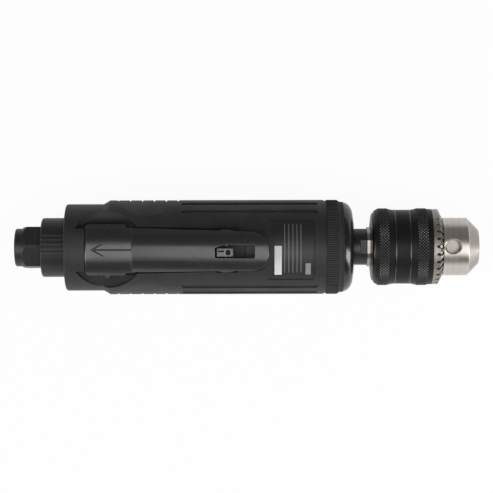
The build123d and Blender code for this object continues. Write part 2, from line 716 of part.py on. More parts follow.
def make_flute(angle):
    slot = extrude(Plane.XZ * SlotOverall(FLUTE_LENGTH, FLUTE_WIDTH), amount=-FAR)
    x = x_housing + FLUTE_START + FLUTE_LENGTH / 2
    return Rot(angle, 0, 0) * Pos(x, body_radius - FLUTE_DEPTH, 0) * slot


def make_label_recess():
    x0 = x_housing + LABEL_START
    x1 = x0 + LABEL_LENGTH
    half = LABEL_WIDTH / 2
    corners = [(x0, -half), (x1, -half), (x1, half), (x0, half)]
    face = make_face(FilletPolyline(*corners, radius=LABEL_CORNER, close=True))
    return plan_prism(face, 0, FAR) - bar(0, x_front, body_radius - LABEL_DEPTH)


def make_housing():
    ramp_start = x_housing + REAR_LENGTH
    step = x_front - FRONT_STEP_LENGTH
    low = body_radius - FRONT_STEP_DEPTH
    body = turned_round([(x_housing, 0), (x_housing, REAR_RADIUS), (ramp_start, REAR_RADIUS),
                         (ramp_start + RAMP_LENGTH, body_radius), (step, body_radius), (step, low),
                         (x_front, low), (x_front, 0)],
                        [0, HOUSING_EDGE, 0, 0, 0, 0, 0, 0])
    body = body + bar(x_boss, x_housing + BOSS_WALL, boss_radius)
    for cut in lever_bed() + air_ways():
        body = body - cut
    for side in (-1, 1):
        body = body - pad_shape(side, FIT)
    for angle in FLUTE_ANGLES:
        body = body - make_flute(angle) - make_flute(180 + angle)
    return body - make_label_recess()


def make_bushing():
    hexagon = RegularPolygon(HEX_FLATS / 2, 6, major_radius=False, rotation=90 - HEX_PHASE)
    nut = extrude(Plane.YZ.offset(INLET_RING_LENGTH) * hexagon, amount=HEX_LENGTH + HEX_HIDDEN)
    ring = turned_round([(0, 0), (0, INLET_RING_RADIUS), (INLET_RING_LENGTH, INLET_RING_RADIUS),
                         (INLET_RING_LENGTH, 0)], [0, INLET_RING_ROUND, 0, 0])
    corners = turned((INLET_RING_LENGTH, 0), (INLET_RING_LENGTH, HEX_FLATS / 2),
                     (INLET_RING_LENGTH + HEX_CHAMFER, hex_corner), (x_shank, hex_corner), (x_shank, 0))
    bushing = ring + (nut & corners) + bar(x_shank, x_valve, SHANK_RADIUS)
    bushing = bushing - bar(0, INLET_BORE_DEPTH, INLET_BORE_RADIUS)
    bushing = bushing - bar(0, x_screen + SCREEN_THICKNESS, SCREEN_RADIUS + FIT)
    return bushing - bar(0, x_valve, INLET_PORT_RADIUS)


def make_screen():
    x1 = x_screen + SCREEN_THICKNESS
    screen = bar(x_screen, x1, SCREEN_RADIUS)
    hole = bar(x_screen, x1, SCREEN_HOLE_RADIUS)
    holes = [hole]
    for ring in (1, 2):
        holes += around(Pos(0, ring * SCREEN_HOLE_PITCH, 0) * hole, 6 * ring)
    return screen - holes


def make_deflector():
    x1 = x_housing - FACE
    inner = DEFLECTOR_RADIUS - DEFLECTOR_WALL
    mouth = hex_corner + DEFLECTOR_MOUTH_GAP
    lip = x_deflector + DEFLECTOR_LIP
    shell = turned_round([(x_deflector, mouth), (x_deflector, DEFLECTOR_RADIUS), (x1, DEFLECTOR_RADIUS),
                          (x1, inner), (lip, inner), (lip, mouth)], [0, DEFLECTOR_EDGE, 0, 0, 0, 0])
    x0 = x_shank + FACE
    x2 = x0 + DEFLECTOR_HUB_LENGTH
    hub_bore = SHANK_RADIUS + RUN
    hub_radius = hub_bore + DEFLECTOR_HUB_WALL
    side = DEFLECTOR_SPOKE / 2
    spoke = block(x0, x2, hub_radius - DEFLECTOR_HUB_WALL / 2, inner + DEFLECTOR_WALL / 2, -side, side)
    deflector = shell + tube(x0, x2, hub_radius, hub_bore)
    for arm in around(spoke, DEFLECTOR_SPOKES, 180.0 / DEFLECTOR_SPOKES):
        deflector = deflector + arm
    # ribs with a rounded rear end
    rib_rear = x_deflector + DEFLECTOR_RIB_MARGIN + DEFLECTOR_RIB_RADIUS
    rib = bar(rib_rear, x1 - DEFLECTOR_RIB_MARGIN, DEFLECTOR_RIB_RADIUS)
    rib = rib + Pos(rib_rear, 0, 0) * Sphere(DEFLECTOR_RIB_RADIUS)
    rib = Pos(0, 0, DEFLECTOR_RADIUS - DEFLECTOR_RIB_SUNK) * rib
    for i in range(DEFLECTOR_RIBS):
        angle = (i - (DEFLECTOR_RIBS - 1) / 2) * DEFLECTOR_RIB_STEP - DEFLECTOR_PHASE
        deflector = deflector + Rot(angle, 0, 0) * rib
    return deflector


def make_muffler():
    return tube(x_boss + FACE, x_housing, exhaust_outer, boss_radius + FIT)


def make_seat():
    return tube(x_seat, x_chamber, VALVE_BORE_RADIUS, SEAT_PORT_RADIUS)


def make_valve():
    x0 = valve_face - VALVE_SEAL_LENGTH
    valve = bar(x0 - VALVE_DISC_LENGTH, x0, VALVE_DISC_RADIUS)
    return valve + bar(x0, x_seat + VALVE_STEM_LENGTH, VALVE_STEM_RADIUS)


def make_valve_seal():
    return tube(valve_face - VALVE_SEAL_LENGTH, valve_face, VALVE_DISC_RADIUS, VALVE_STEM_RADIUS + FIT)


def make_valve_spring():
    """A conical spring of square wire, from the bushing to the back of the valve."""
    x0 = x_valve + SPRING_WIRE / 2 + FIT
    x1 = valve_face - VALVE_SEAL_LENGTH - VALVE_DISC_LENGTH - SPRING_WIRE / 2 - FIT
    wide = VALVE_BORE_RADIUS - SPRING_WIRE - SPRING_BORE_GAP
    narrow = VALVE_DISC_RADIUS - SPRING_WIRE / 2 - SPRING_DISC_INSET
    taper = math.degrees(math.atan2(narrow - wide, x1 - x0))
    path = Helix((x1 - x0) / SPRING_TURNS, x1 - x0, wide, center=(x0, 0, 0), direction=(1, 0, 0),
                 cone_angle=taper)
    section = Plane(path @ 0, z_dir=path % 0) * Rectangle(SPRING_WIRE, SPRING_WIRE)
    return sweep(section, path=path, is_frenet=True)


def make_plunger():
    shoulder = plunger_top - PLUNGER_DOME
    dome_radius = (PLUNGER_RADIUS ** 2 + PLUNGER_DOME ** 2) / (2 * PLUNGER_DOME)
    stem = upright(x_plunger, plunger_foot, plunger_top, PLUNGER_RADIUS)
    dome = Pos(x_plunger, 0, plunger_top - dome_radius) * Sphere(dome_radius)
    stem = stem - (upright(x_plunger, shoulder, FAR, FAR) - dome)
    ring_path = PLUNGER_RADIUS - PLUNGER_RING_INSET
    return stem - Pos(x_plunger, 0, plunger_ring_height) * Torus(ring_path, PLUNGER_RING_RADIUS + FIT)


def make_plunger_ring():
    ring = Torus(PLUNGER_RADIUS - PLUNGER_RING_INSET, PLUNGER_RING_RADIUS)
    ring = Pos(x_plunger, 0, plunger_ring_height) * ring
    return ring & upright(x_plunger, 0, FAR, PLUNGER_RADIUS + RUN / 2)


def make_bush():
    bush = upright(x_plunger, bush_foot, bush_top, bush_radius)
    return bush - upright(x_plunger, 0, FAR, PLUNGER_RADIUS + RUN)


def drop_flat(x0, x1):
    half = EXHAUST_FLAT_WIDTH / 2
    return block(x0, x1, -half, half, -FAR, -MOTOR_RADIUS + EXHAUST_FLAT)


def make_dowel(radius):
    dowel = bar(x_cylinder - DOWEL_REACH, x_front_plate + DOWEL_REACH, radius)
    return Rot(DOWEL_ANGLE, 0, 0) * Pos(0, MOTOR_RADIUS - DOWEL_INSET, 0) * dowel


def make_rear_plate():
    plate = bar(x_motor, x_cylinder, MOTOR_RADIUS)
    plate = plate - bar(x_motor, x_motor + REAR_BEARING_LENGTH, REAR_BEARING_OUTER + FIT)
    plate = plate - bar(x_motor, x_cylinder, REAR_BEARING_INNER + FACE)
    plate = plate - Pos(0, 0, port_height) * bar(x_motor, x_cylinder, PORT_RADIUS)
    return plate - drop_flat(x_motor, x_cylinder) - make_dowel(DOWEL_RADIUS + FIT)


def make_cylinder():
    cylinder = bar(x_cylinder, x_front_plate, MOTOR_RADIUS)
    cylinder = cylinder - Pos(0, 0, ROTOR_OFFSET) * bar(x_cylinder, x_front_plate, CYLINDER_BORE_RADIUS)
    cylinder = cylinder - drop_flat(x_cylinder, x_front_plate - EXHAUST_FLAT_STOP)
    for i in range(EXHAUST_PORTS):
        x = x_cylinder + CYLINDER_LENGTH / 2 + (i - (EXHAUST_PORTS - 1) / 2) * EXHAUST_PORT_PITCH
        cylinder = cylinder - upright(x, -FAR, 0, EXHAUST_PORT_RADIUS)
    return cylinder - make_dowel(DOWEL_RADIUS + FIT)


def make_front_plate():
    plate = bar(x_front_plate, x_gears, MOTOR_RADIUS)
    plate = plate - bar(x_gears - FRONT_BEARING_LENGTH, x_gears, FRONT_BEARING_OUTER + FIT)
    plate = plate - bar(x_front_plate, x_gears, FRONT_BEARING_INNER + FACE)
    return plate - make_dowel(DOWEL_RADIUS + FIT)


def vane_blade(thickness, r0, r1, x0, x1):
    return block(x0, x1, r0, r1, -thickness / 2, thickness / 2)


def make_rotor():
    x0 = x_cylinder + ROTOR_END_GAP
    x1 = x_front_plate - ROTOR_END_GAP
    rotor = bar(x0, x1, rotor_radius)
    rotor = rotor + bar(x_motor + ROTOR_TAIL_GAP, x0, REAR_BEARING_INNER)
    rotor = rotor + bar(x1, x_gears, FRONT_BEARING_INNER)
    pitch = MODULE * SUN_TEETH / 2
    teeth = tooth_outline(SUN_TEETH, pitch - DEDENDUM, pitch + ADDENDUM, -BACKLASH)
    rotor = rotor + Rot(90, 0, 0) * gear(x_gears, x_planets + PLANET_LENGTH, teeth)
    slot = vane_blade(VANE_THICKNESS + 2 * RUN, rotor_radius - VANE_DEPTH - RUN, FAR, x0, x1)
    for cut in around(slot, VANES, 90):
        rotor = rotor - cut
    return rotor


def make_vane(i):
    x0 = x_cylinder + 2 * ROTOR_END_GAP
    x1 = x_front_plate - 2 * ROTOR_END_GAP
    vane = vane_blade(VANE_THICKNESS, rotor_radius - VANE_DEPTH, FAR, x0, x1) & bar(x0, x1, rotor_radius)
    return Rot(90 + 360.0 * i / VANES, 0, 0) * vane


def make_ring_gear():
    pitch = MODULE * RING_TEETH / 2
    spaces = tooth_outline(RING_TEETH, pitch - ADDENDUM, pitch + DEDENDUM, BACKLASH)
    return bar(x_gears, x_spigot, MOTOR_RADIUS) - Rot(90, 0, 0) * gear(x_gears, x_spigot, spaces)


def make_planet(i):
    pitch = MODULE * PLANET_TEETH / 2
    teeth = tooth_outline(PLANET_TEETH, pitch - DEDENDUM, pitch + ADDENDUM, -BACKLASH)
    planet = gear(x_planets, x_planets + PLANET_LENGTH, teeth)
    planet = planet - bar(x_planets, x_planets + PLANET_LENGTH, PLANET_PIN_RADIUS + RUN)
    return Rot(90 + 360.0 * i / PLANETS, 0, 0) * Pos(0, planet_orbit, 0) * planet


def planet_pin(radius, i):
    pin = bar(x_planets - PLANET_PIN_PROUD, x_carrier + CARRIER_LENGTH, radius)
    return Rot(90 + 360.0 * i / PLANETS, 0, 0) * Pos(0, planet_orbit, 0) * pin


def make_spindle():
    x0 = x_carrier + CARRIER_LENGTH
    spindle = bar(x_carrier, x0, CARRIER_RADIUS) + bar(x0, x_bearing_rear, SHOULDER_RADIUS)
    spindle = spindle + bar(x_bearing_rear, x_chuck, spindle_radius)
    spindle = spindle + bar(x_chuck, x_chuck + STUD_LENGTH, STUD_RADIUS)
    flat = block(x_chuck - FLAT_LENGTH, x_chuck - FACE, FLAT_WIDTH / 2, FAR, -FAR, FAR)
    for cut in around(flat, 2, 90 - CHUCK_PHASE):
        spindle = spindle - cut
    for i in range(PLANETS):
        spindle = spindle - planet_pin(PLANET_PIN_RADIUS + FIT, i)
    return spindle


def make_cap():
    x1 = x_front + BAND_LENGTH
    band = body_radius - BAND_DEPTH
    dome = body_radius - LIP_DEPTH
    hole = spindle_radius + NOSE_HOLE_GAP
    points = [(x_spigot, cap_bore_radius), (x_spigot, spigot_radius), (x_front, spigot_radius),
              (x_front, band), (x1, band), (x1 + LIP_LENGTH, dome), (x_nose - NOSE_FACE_RISE, dome),
              (x_nose, NOSE_FACE_RADIUS), (x_nose, hole), (x_bearing_front, hole),
              (x_bearing_front, cap_bore_radius)]
    cap = turned_round(points, [0, 0, 0, 0, 0, 0, DOME_ROUND, NOSE_FACE_ROUND, 0, 0, 0])
    groove_end = x_bearing_rear - FIT
    cap = cap - bar(groove_end - CIRCLIP_LENGTH, groove_end, cap_bore_radius + CIRCLIP_DEPTH)
    return cap - bar(x_seal - SEAL_LENGTH, x_seal, seal_radius)


def make_circlip():
    outer = cap_bore_radius + CIRCLIP_DEPTH - FIT
    x0 = x_bearing_rear - CIRCLIP_LENGTH
    x1 = x_bearing_rear - 2 * FIT
    clip = tube(x0, x1, outer, outer - CIRCLIP_WIDTH)
    return clip - block(x0, x1, -CIRCLIP_GAP / 2, CIRCLIP_GAP / 2, 0, FAR)


def make_seal():
    return tube(x_seal - SEAL_LENGTH + FIT, x_seal - FIT, seal_radius - FIT, spindle_radius + RUN)


def jaw_rod(radius, back):
    """A rod on a jaw's inclined axis, from a way back to past the nose."""
    rod = Pos(0, 0, -back) * Cylinder(radius, back + FAR, align=BASE)
    return Pos(x_jaw_tip, 0, JAW_AXIS_AT_TIP) * Rot(0, 90 + JAW_ANGLE, 0) * rod


def jaw_outer(x):
    slope = math.radians(JAW_ANGLE)
    return JAW_AXIS_AT_TIP + (x_jaw_tip - x) * math.tan(slope) + JAW_RADIUS / math.cos(slope)


def make_jaw(i):
    wide = 2 * JAW_RADIUS
    lift = (wide - JAW_LAND) / math.tan(math.radians(JAW_FACE_ANGLE))
    wedge = Polyline((-JAW_LAND, JAW_OPEN), (JAW_LAND, JAW_OPEN), (wide, JAW_OPEN + lift), (wide, FAR),
                     (-wide, FAR), (-wide, JAW_OPEN + lift), close=True)
    wedge = extrude(Plane.YZ.offset(x_jaw_rear) * make_face(wedge), amount=JAW_LENGTH)
    jaw = jaw_rod(JAW_RADIUS, JAW_LENGTH + FAR) & wedge
    jaw = jaw & bar(x_jaw_rear, x_jaw_tip, sleeve_bore_radius - JAW_SLEEVE_GAP)
    return Rot(jaw_phase + 360.0 * i / JAWS, 0, 0) * jaw


def make_key_hole():
    mouth = Cone(KEY_HOLE_RADIUS, KEY_HOLE_RADIUS + 2 * KEY_HOLE_CHAMFER, 2 * KEY_HOLE_CHAMFER, align=BASE)
    mouth = Pos(x_key_hole, 0, BODY_FRONT_RADIUS - KEY_HOLE_MOUTH) * mouth
    return upright(x_key_hole, BODY_FRONT_RADIUS - KEY_HOLE_DEPTH, FAR, KEY_HOLE_RADIUS) + mouth


def make_chuck_body():
    x0 = x_chuck + CHUCK_HUB_LENGTH
    x1 = x0 + CHUCK_BACK_RISE
    x2 = x1 + FLANGE_LENGTH
    x3 = x_key_ring + KEY_RING_RELIEF
    points = [(x_chuck, 0), (x_chuck, CHUCK_HUB_RADIUS), (x0, CHUCK_HUB_RADIUS), (x1, FLANGE_RADIUS),
              (x2, FLANGE_RADIUS), (x2, CORE_RADIUS), (x3, CORE_RADIUS), (x3, BODY_FRONT_RADIUS),
              (x_tip - NOSE_CONE, BODY_FRONT_RADIUS), (x_tip, BODY_FRONT_RADIUS - NOSE_CONE), (x_tip, 0)]
    body = turned_round(points, [0, 0, 0, CHUCK_BACK_ROUND, 0, 0, 0, 0, 0, 0, 0])
    # wrench flats on the hub
    side = CHUCK_HUB_FLATS / 2
    for flat in around(block(x_chuck, x0, -FAR, FAR, side, FAR), 2, -CHUCK_PHASE):
        body = body - flat
    body = body - bar(x_tip - CHUCK_BORE_DEPTH, x_tip, CHUCK_BORE_RADIUS)
    body = body - bar(x_chuck, x_chuck + SOCKET_DEPTH, STUD_RADIUS + FIT)
    body = body - bar(x_chuck, x_tip, SCREW_HOLE_RADIUS)
    back = (JAW_LENGTH + JAW_HOLE_RUNOUT) / math.cos(math.radians(JAW_ANGLE))
    for hole in around(jaw_rod(JAW_RADIUS + RUN, back), JAWS, jaw_phase):
        body = body - hole
    for hole in around(make_key_hole(), JAWS, -CHUCK_PHASE):
        body = body - hole
    return body


def make_sleeve():
    high = sleeve_radius + SLEEVE_BAND_HEIGHT
    low = sleeve_radius - SLEEVE_WAIST_DEPTH
    x0 = x_sleeve + SLEEVE_SHOULDER
    x1 = x0 + SLEEVE_REAR_BAND
    x2 = x1 + SLEEVE_SLOPE
    x5 = x_key_ring - SLEEVE_NOSE
    x4 = x5 - SLEEVE_FRONT_BAND
    x3 = x4 - SLEEVE_SLOPE
    points = [(x_sleeve, sleeve_bore_radius), (x_sleeve, sleeve_bore_radius + SLEEVE_MOUTH_HEIGHT),
              (x0, high), (x1, high), (x2, low), (x3, low), (x4, high), (x5, high),
              (x_key_ring, sleeve_radius), (x_key_ring, sleeve_bore_radius)]
    return turned_round(points, [0, 0, SLEEVE_ROUND, 0, SLEEVE_ROUND, SLEEVE_ROUND, 0, 0, 0, 0])


def make_key_ring():
    bore = BODY_FRONT_RADIUS + 3 * RUN
    land = bore + KEY_RING_LAND
    rim = x_key_ring + KEY_RING_RIM
    end = x_key_ring + KEY_RING_LENGTH
    step = x_key_ring + KEY_RING_RELIEF
    relief = max(bore, jaw_outer(x_key_ring)) + NUT_GAP
    ring = turned((x_key_ring, relief), (x_key_ring, sleeve_radius), (rim, sleeve_radius), (end, land),
                  (end, bore), (step, bore), (step, relief))
    fall = math.degrees(math.atan2(sleeve_radius - land, end - rim))
    pitch = math.pi * sleeve_radius / KEY_TEETH
    top = pitch * KEY_GAP_TOP
    root = pitch * KEY_GAP_ROOT
    gap = Polyline((-top, KEY_GAP_RISE), (-root, -KEY_TOOTH_DEPTH), (root, -KEY_TOOTH_DEPTH),
                   (top, KEY_GAP_RISE), close=True)
    gap = extrude(Plane.YZ * make_face(gap), amount=2 * KEY_RING_LENGTH, both=True)
    gap = Pos((rim + end) / 2, 0, (sleeve_radius + land) / 2) * Rot(0, fall, 0) * gap
    for cut in around(gap, KEY_TEETH, -CHUCK_PHASE):
        ring = ring - cut
    return ring


def nut_bore(x):
    return max(CORE_RADIUS, jaw_outer(x)) + NUT_GAP


def make_nut_half(side):
    x1 = x_key_ring - FACE / 2
    x0 = x1 - NUT_LENGTH
    outer = sleeve_bore_radius - FIT
    nut = turned((x0, nut_bore(x0)), (x0, outer), (x1, outer), (x1, nut_bore(x1)))
    return nut & Rot(side, 0, 0) * block(x0, x1, RUN, FAR, -FAR, FAR)


rear_outer, rear_inner = bearing(x_motor, REAR_BEARING_INNER, REAR_BEARING_OUTER, REAR_BEARING_LENGTH)
front_outer, front_inner = bearing(x_gears - FRONT_BEARING_LENGTH, FRONT_BEARING_INNER, FRONT_BEARING_OUTER,
                                   FRONT_BEARING_LENGTH)
spindle_outer, spindle_inner = bearing(x_bearing_rear, SPINDLE_BEARING_INNER, SPINDLE_BEARING_OUTER,
                                       SPINDLE_BEARING_LENGTH)

parts = {
    "housing": make_housing(),
    "grip_left": make_pad(1),
    "grip_right": make_pad(-1),
    "inlet_bushing": make_bushing(),
    "inlet_screen": make_screen(),
    "exhaust_deflector": make_deflector(),
    "muffler_ring": make_muffler(),
    "throttle_lever": make_lever(),
    "lever_pin": make_pivot_pin(),
    "lock_lever": make_lock(),
    "lock_pin": across(x_lock, z_lock, LOCK_PIN_LENGTH / 2, LOCK_PIN_RADIUS),
    "lock_spring": make_lock_spring(),
    "throttle_plunger": make_plunger(),
    "plunger_ring": make_plunger_ring(),
    "plunger_bush": make_bush(),
    "valve_seat": make_seat(),
    "tilt_valve": make_valve(),
    "valve_seal": make_valve_seal(),
    "valve_spring": make_valve_spring(),
    "rear_end_plate": make_rear_plate(),
    "motor_cylinder": make_cylinder(),
    "front_end_plate": make_front_plate(),
    "motor_dowel": make_dowel(DOWEL_RADIUS),
    "rear_bearing_outer": rear_outer,
    "rear_bearing_inner": rear_inner,
    "front_bearing_outer": front_outer,
    "front_bearing_inner": front_inner,
    "rotor": make_rotor(),
    "ring_gear": make_ring_gear(),
    "spindle": make_spindle(),
    "spindle_bearing_outer": spindle_outer,
    "spindle_bearing_inner": spindle_inner,
    "bearing_circlip": make_circlip(),
    "front_cap": make_cap(),
    "spindle_seal": make_seal(),
    "chuck_body": make_chuck_body(),
    "chuck_sleeve": make_sleeve(),
    "key_ring": make_key_ring(),
    "chuck_nut_half_1": make_nut_half(0),
    "chuck_nut_half_2": make_nut_half(180),
}
for number in range(VANES):
    parts[f"vane_{number + 1}"] = make_vane(number)
for number in range(PLANETS):
    parts[f"planet_gear_{number + 1}"] = make_planet(number)
    parts[f"planet_pin_{number + 1}"] = planet_pin(PLANET_PIN_RADIUS, number)
for number in range(JAWS):
    parts[f"chuck_jaw_{number + 1}"] = make_jaw(number)

os.makedirs("parts", exist_ok=True)
for name, shape in parts.items():
    export_step(shape, f"parts/{name}.step")
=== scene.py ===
import math
import bpy
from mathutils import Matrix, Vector


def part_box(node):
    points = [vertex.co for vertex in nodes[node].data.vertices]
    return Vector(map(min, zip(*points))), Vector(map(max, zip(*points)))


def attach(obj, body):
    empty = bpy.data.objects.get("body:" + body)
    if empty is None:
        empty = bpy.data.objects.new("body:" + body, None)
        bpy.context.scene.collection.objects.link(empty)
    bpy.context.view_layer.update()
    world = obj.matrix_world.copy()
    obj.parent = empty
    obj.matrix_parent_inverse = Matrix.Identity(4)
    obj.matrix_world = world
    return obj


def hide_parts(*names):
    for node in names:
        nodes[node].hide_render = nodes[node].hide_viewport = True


# Straight air drill lying with its lever up, seen from above. Metres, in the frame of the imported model:
# +X runs from the air inlet to the chuck, +Z is the lever side.

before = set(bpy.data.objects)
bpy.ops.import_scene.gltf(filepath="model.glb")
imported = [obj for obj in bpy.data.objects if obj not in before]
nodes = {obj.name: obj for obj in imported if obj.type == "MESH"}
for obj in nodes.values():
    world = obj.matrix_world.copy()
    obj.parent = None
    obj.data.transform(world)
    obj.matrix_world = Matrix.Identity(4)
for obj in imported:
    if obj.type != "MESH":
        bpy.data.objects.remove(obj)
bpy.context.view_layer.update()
MM = 0.001

# What the added pieces sit on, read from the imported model
housing_low, housing_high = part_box("housing")
ring_low, ring_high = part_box("key_ring")
lock_pin_low, lock_pin_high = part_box("lock_pin")
GRIP_LOW, GRIP_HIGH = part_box("grip_left")
BODY_RADIUS = housing_high[1]
BAND_START = housing_high[0]
LEVER_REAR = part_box("throttle_lever")[0][0]
SLEEVE_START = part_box("chuck_sleeve")[0][0]

# Closeness, smoothing and facets that the pieces share
NEAR = 0.001 * MM
WELD = 0.0001 * MM
SMOOTH_ANGLE = 30.0
FACETS = 144

# Ribs of the front cap's band: widths as shares of the pitch and of the foot
BAND_LENGTH = 5.7 * MM
BAND_RADIUS = BODY_RADIUS - 0.35 * MM
CAP_DULL_TO = BAND_START + BAND_LENGTH + 2.4 * MM
RIB_COUNT = 132
RIB_LENGTH = BAND_LENGTH - 0.1 * MM
RIB_SUNK = 0.12 * MM
RIB_FOOT_SHARE = 0.66
RIB_CREST_SHARE = 0.42
RIB_END_SLOPE = 0.7 * MM
RIB_ROUND = 0.09 * MM
RIB_RUBBED_FROM = BAND_RADIUS + 0.15 * MM
RIB_SMOOTH_ANGLE = 40.0

# Knurled bands of the chuck sleeve
KNURL_ROOT = 17.8 * MM
KNURL_HEIGHT = 0.25 * MM
KNURL_SUNK = 0.06 * MM
KNURL_FLAT = 0.3
KNURL_COUNT = 78
KNURL_ROWS = 6
KNURL_RUBBED_FROM = KNURL_ROOT + 0.08 * MM
REAR_KNURL = (SLEEVE_START + 1.5 * MM, 5.0 * MM)
FRONT_KNURL = (SLEEVE_START + 19.3 * MM, 5.4 * MM)

# Beads round the sleeve's waist
BEAD_RADIUS = 17.35 * MM
BEAD_HEIGHT = 0.12 * MM
BEAD_WIDTH = 0.45 * MM
BEAD_RIM = 0.4 * BEAD_WIDTH
BEAD_ROUND = 0.9 * BEAD_HEIGHT
BEADS = (SLEEVE_START + 9.5 * MM, SLEEVE_START + 16.3 * MM)

# Zones of the chuck's body: its back, its hub and its key holes
CHUCK_BACK_END = SLEEVE_START + 8.0 * MM
CHUCK_HUB_RADIUS = 9.35 * MM
KEY_HOLE_START = SLEEVE_START + 31.0 * MM
KEY_HOLE_FLOOR = 13.0 * MM

# Toothed ring: the teeth stand on a cone from its rim to its end
RING_RIM = ring_low[0] + 2.9 * MM
RING_RADIUS = ring_high[1]
RING_END = ring_high[0]
RING_LAND = 14.0 * MM
RING_SLOPE = math.atan2(RING_RADIUS - RING_LAND, RING_END - RING_RIM)
# Painted shade in the gullets, from their edge down to its darkest depth
GULLET_EDGE = 0.15 * MM
GULLET_SHADE_DEPTH = (0.35 * MM, 1.5 * MM)
# Painted shadow line on the chuck's body beside the ring's end
SHADOW_LINE = (RING_END - 0.6 * MM, RING_END + 0.4 * MM)

# Side grips: an oval rubber pad with notches that leave a row of bars
GRIP_RADIUS = BODY_RADIUS - 0.05 * MM
GRIP_THICKNESS = 1.6 * MM
GRIP_FACETS = 96
GRIP_CROWN_FACETS = 240
NOTCH_START = 1.1 * MM
NOTCH_PITCH = 5.62 * MM
NOTCH_COUNT = 6
NOTCH_WIDTH = 1.3 * MM
NOTCH_DEPTH = 1.0 * MM
NOTCH_REACH = 6.5 * MM
NOTCH_ROOT_SHARE = (0.6, 1.0, 0.9)

# Label in the housing's recess
LABEL_START = BAND_START - 24.3 * MM
LABEL_END = BAND_START - 6.0 * MM
LABEL_HALF_WIDTH = 13.3 * MM
LABEL_RADIUS = BODY_RADIUS - 0.28 * MM
LABEL_THICKNESS = 0.12 * MM
LABEL_CORNER = 1.6 * MM
LABEL_CORNER_STEPS = 5
WHITE_FIELD_X = (LABEL_START + 0.15 * MM, LABEL_START + 3.45 * MM)
WHITE_FIELD_Y = (-11.5 * MM, 2.0 * MM)
GREY_FIELD_X = (LABEL_END - 3.9 * MM, LABEL_END - 1.5 * MM)
GREY_FIELD_Y = (-11.4 * MM, -6.1 * MM)
RULE_COUNT = 5
RULE_FROM_EDGE = 4.7 * MM
RULE_PITCH = 1.87 * MM
RULE_WIDTH = 0.25 * MM
RULE_ENDS = (-10.4 * MM, 11.8 * MM)

# Lever's hub, with its rounded rear rim, the crease where the paddle starts, and the arrow cut into it
HUB_REAR_HEIGHT = 20.5 * MM
HUB_SLOPE = math.radians(3.41)
HUB_CROWN = 20.3 * MM
REAR_RIM_ROUND = 0.7 * MM
REAR_RIM_ROOM_X = 0.02 * MM
REAR_RIM_ROOM_Z = 0.06 * MM
CREASE = LEVER_REAR + 21.8 * MM
CREASE_HEIGHT = 21.9 * MM
CREASE_CROWN = 18.6 * MM
CREASE_DEPTH = 0.3 * MM
CREASE_SIDES = 8
ARROW_TIP = LEVER_REAR + 3.25 * MM
ARROW_END = LEVER_REAR + 21.2 * MM
ARROW_BARB = 5.2 * MM
ARROW_BARB_SPREAD = 2.8 * MM
ARROW_ASIDE = 0.3 * MM
ARROW_WIDTH = 0.7 * MM
ARROW_DEPTH = 0.55 * MM
LEVER_WELD = 0.004 * MM
LEVER_SMOOTH_ANGLE = 18.0

# Lock pin's bore in the paddle, and the bosses beside it under the paddle's crown
LOCK_X = (lock_pin_low[0] + lock_pin_high[0]) / 2
LOCK_HEIGHT = (lock_pin_low[2] + lock_pin_high[2]) / 2
LOCK_PIN_RADIUS = (lock_pin_high[2] - lock_pin_low[2]) / 2
LOCK_BORE_ROOM = 0.07 * MM
PADDLE_RISE = math.radians(9.0)
PADDLE_CROWN = 17.02 * MM
PADDLE_TOP_AT_LOCK = LOCK_HEIGHT + 3.9 * MM
CROWN_PROUD = 0.02 * MM
CROWN_FACETS = 288
EAR_LENGTH = 5.0 * MM
EAR_REACH = 12.0 * MM

# Marks stamped into the lock lever, with painted shade in the dimple and a dark line
LOCK_DIMPLE = (LOCK_X + 0.9 * MM, -0.5 * MM)
LOCK_DIMPLE_RADIUS = 1.19 * MM
LOCK_LINE_X = (LOCK_X - 3.8 * MM, LOCK_X - 0.7 * MM)
LOCK_LINE_Y = (-0.2 * MM, 0.4 * MM)

# Thread of the air inlet
THREAD_BORE = 5.85 * MM
THREAD_PITCH = 1.41 * MM
THREAD_HEIGHT = 0.55 * MM
THREAD_TURNS = 7
THREAD_START = 0.9 * MM
THREAD_STEPS = 48

# How far the shared effects reach: limits of a pattern's value, then what it gives
EDGE_TURN = (0.02, 0.16)
WORN_PATCHES = (0.42, 0.62)
MOTTLE_LIMITS = (0.3, 0.7)
MOTTLE_TONE = (0.8, 1.2)
MOTTLE_HEIGHT = 0.4
RING_LIMITS = (0.35, 0.65)
RING_TONE = (0.9, 1.08)
BROAD_RING_PITCH = 0.12
SMUDGE_LIMITS = (0.35, 0.65)
SPECK_LIMITS = (0.6, 0.78)
SPECKS_PER_PATCH = 40.0
DUSTY_SLOPE = (0.2, 1.0)

# What a smudge adds to the roughness, from clean to smudged
PLASTIC_SMUDGE = (0.04, -0.04)
BLACK_SMUDGE = (0.05, -0.03)
METAL_SMUDGE = (-0.03, 0.05)
LOCK_SMUDGE = (-0.05, 0.05)

# Widths of the rubbed edges, and shares of wear, dust and dulling
BLACK_EDGE = 0.3 * MM
METAL_EDGE = 0.2 * MM
LOCK_EDGE = 0.5 * MM
LOCK_WEAR = 0.9
DUST_SHARE = 0.08
DULL_SHARE = 0.3

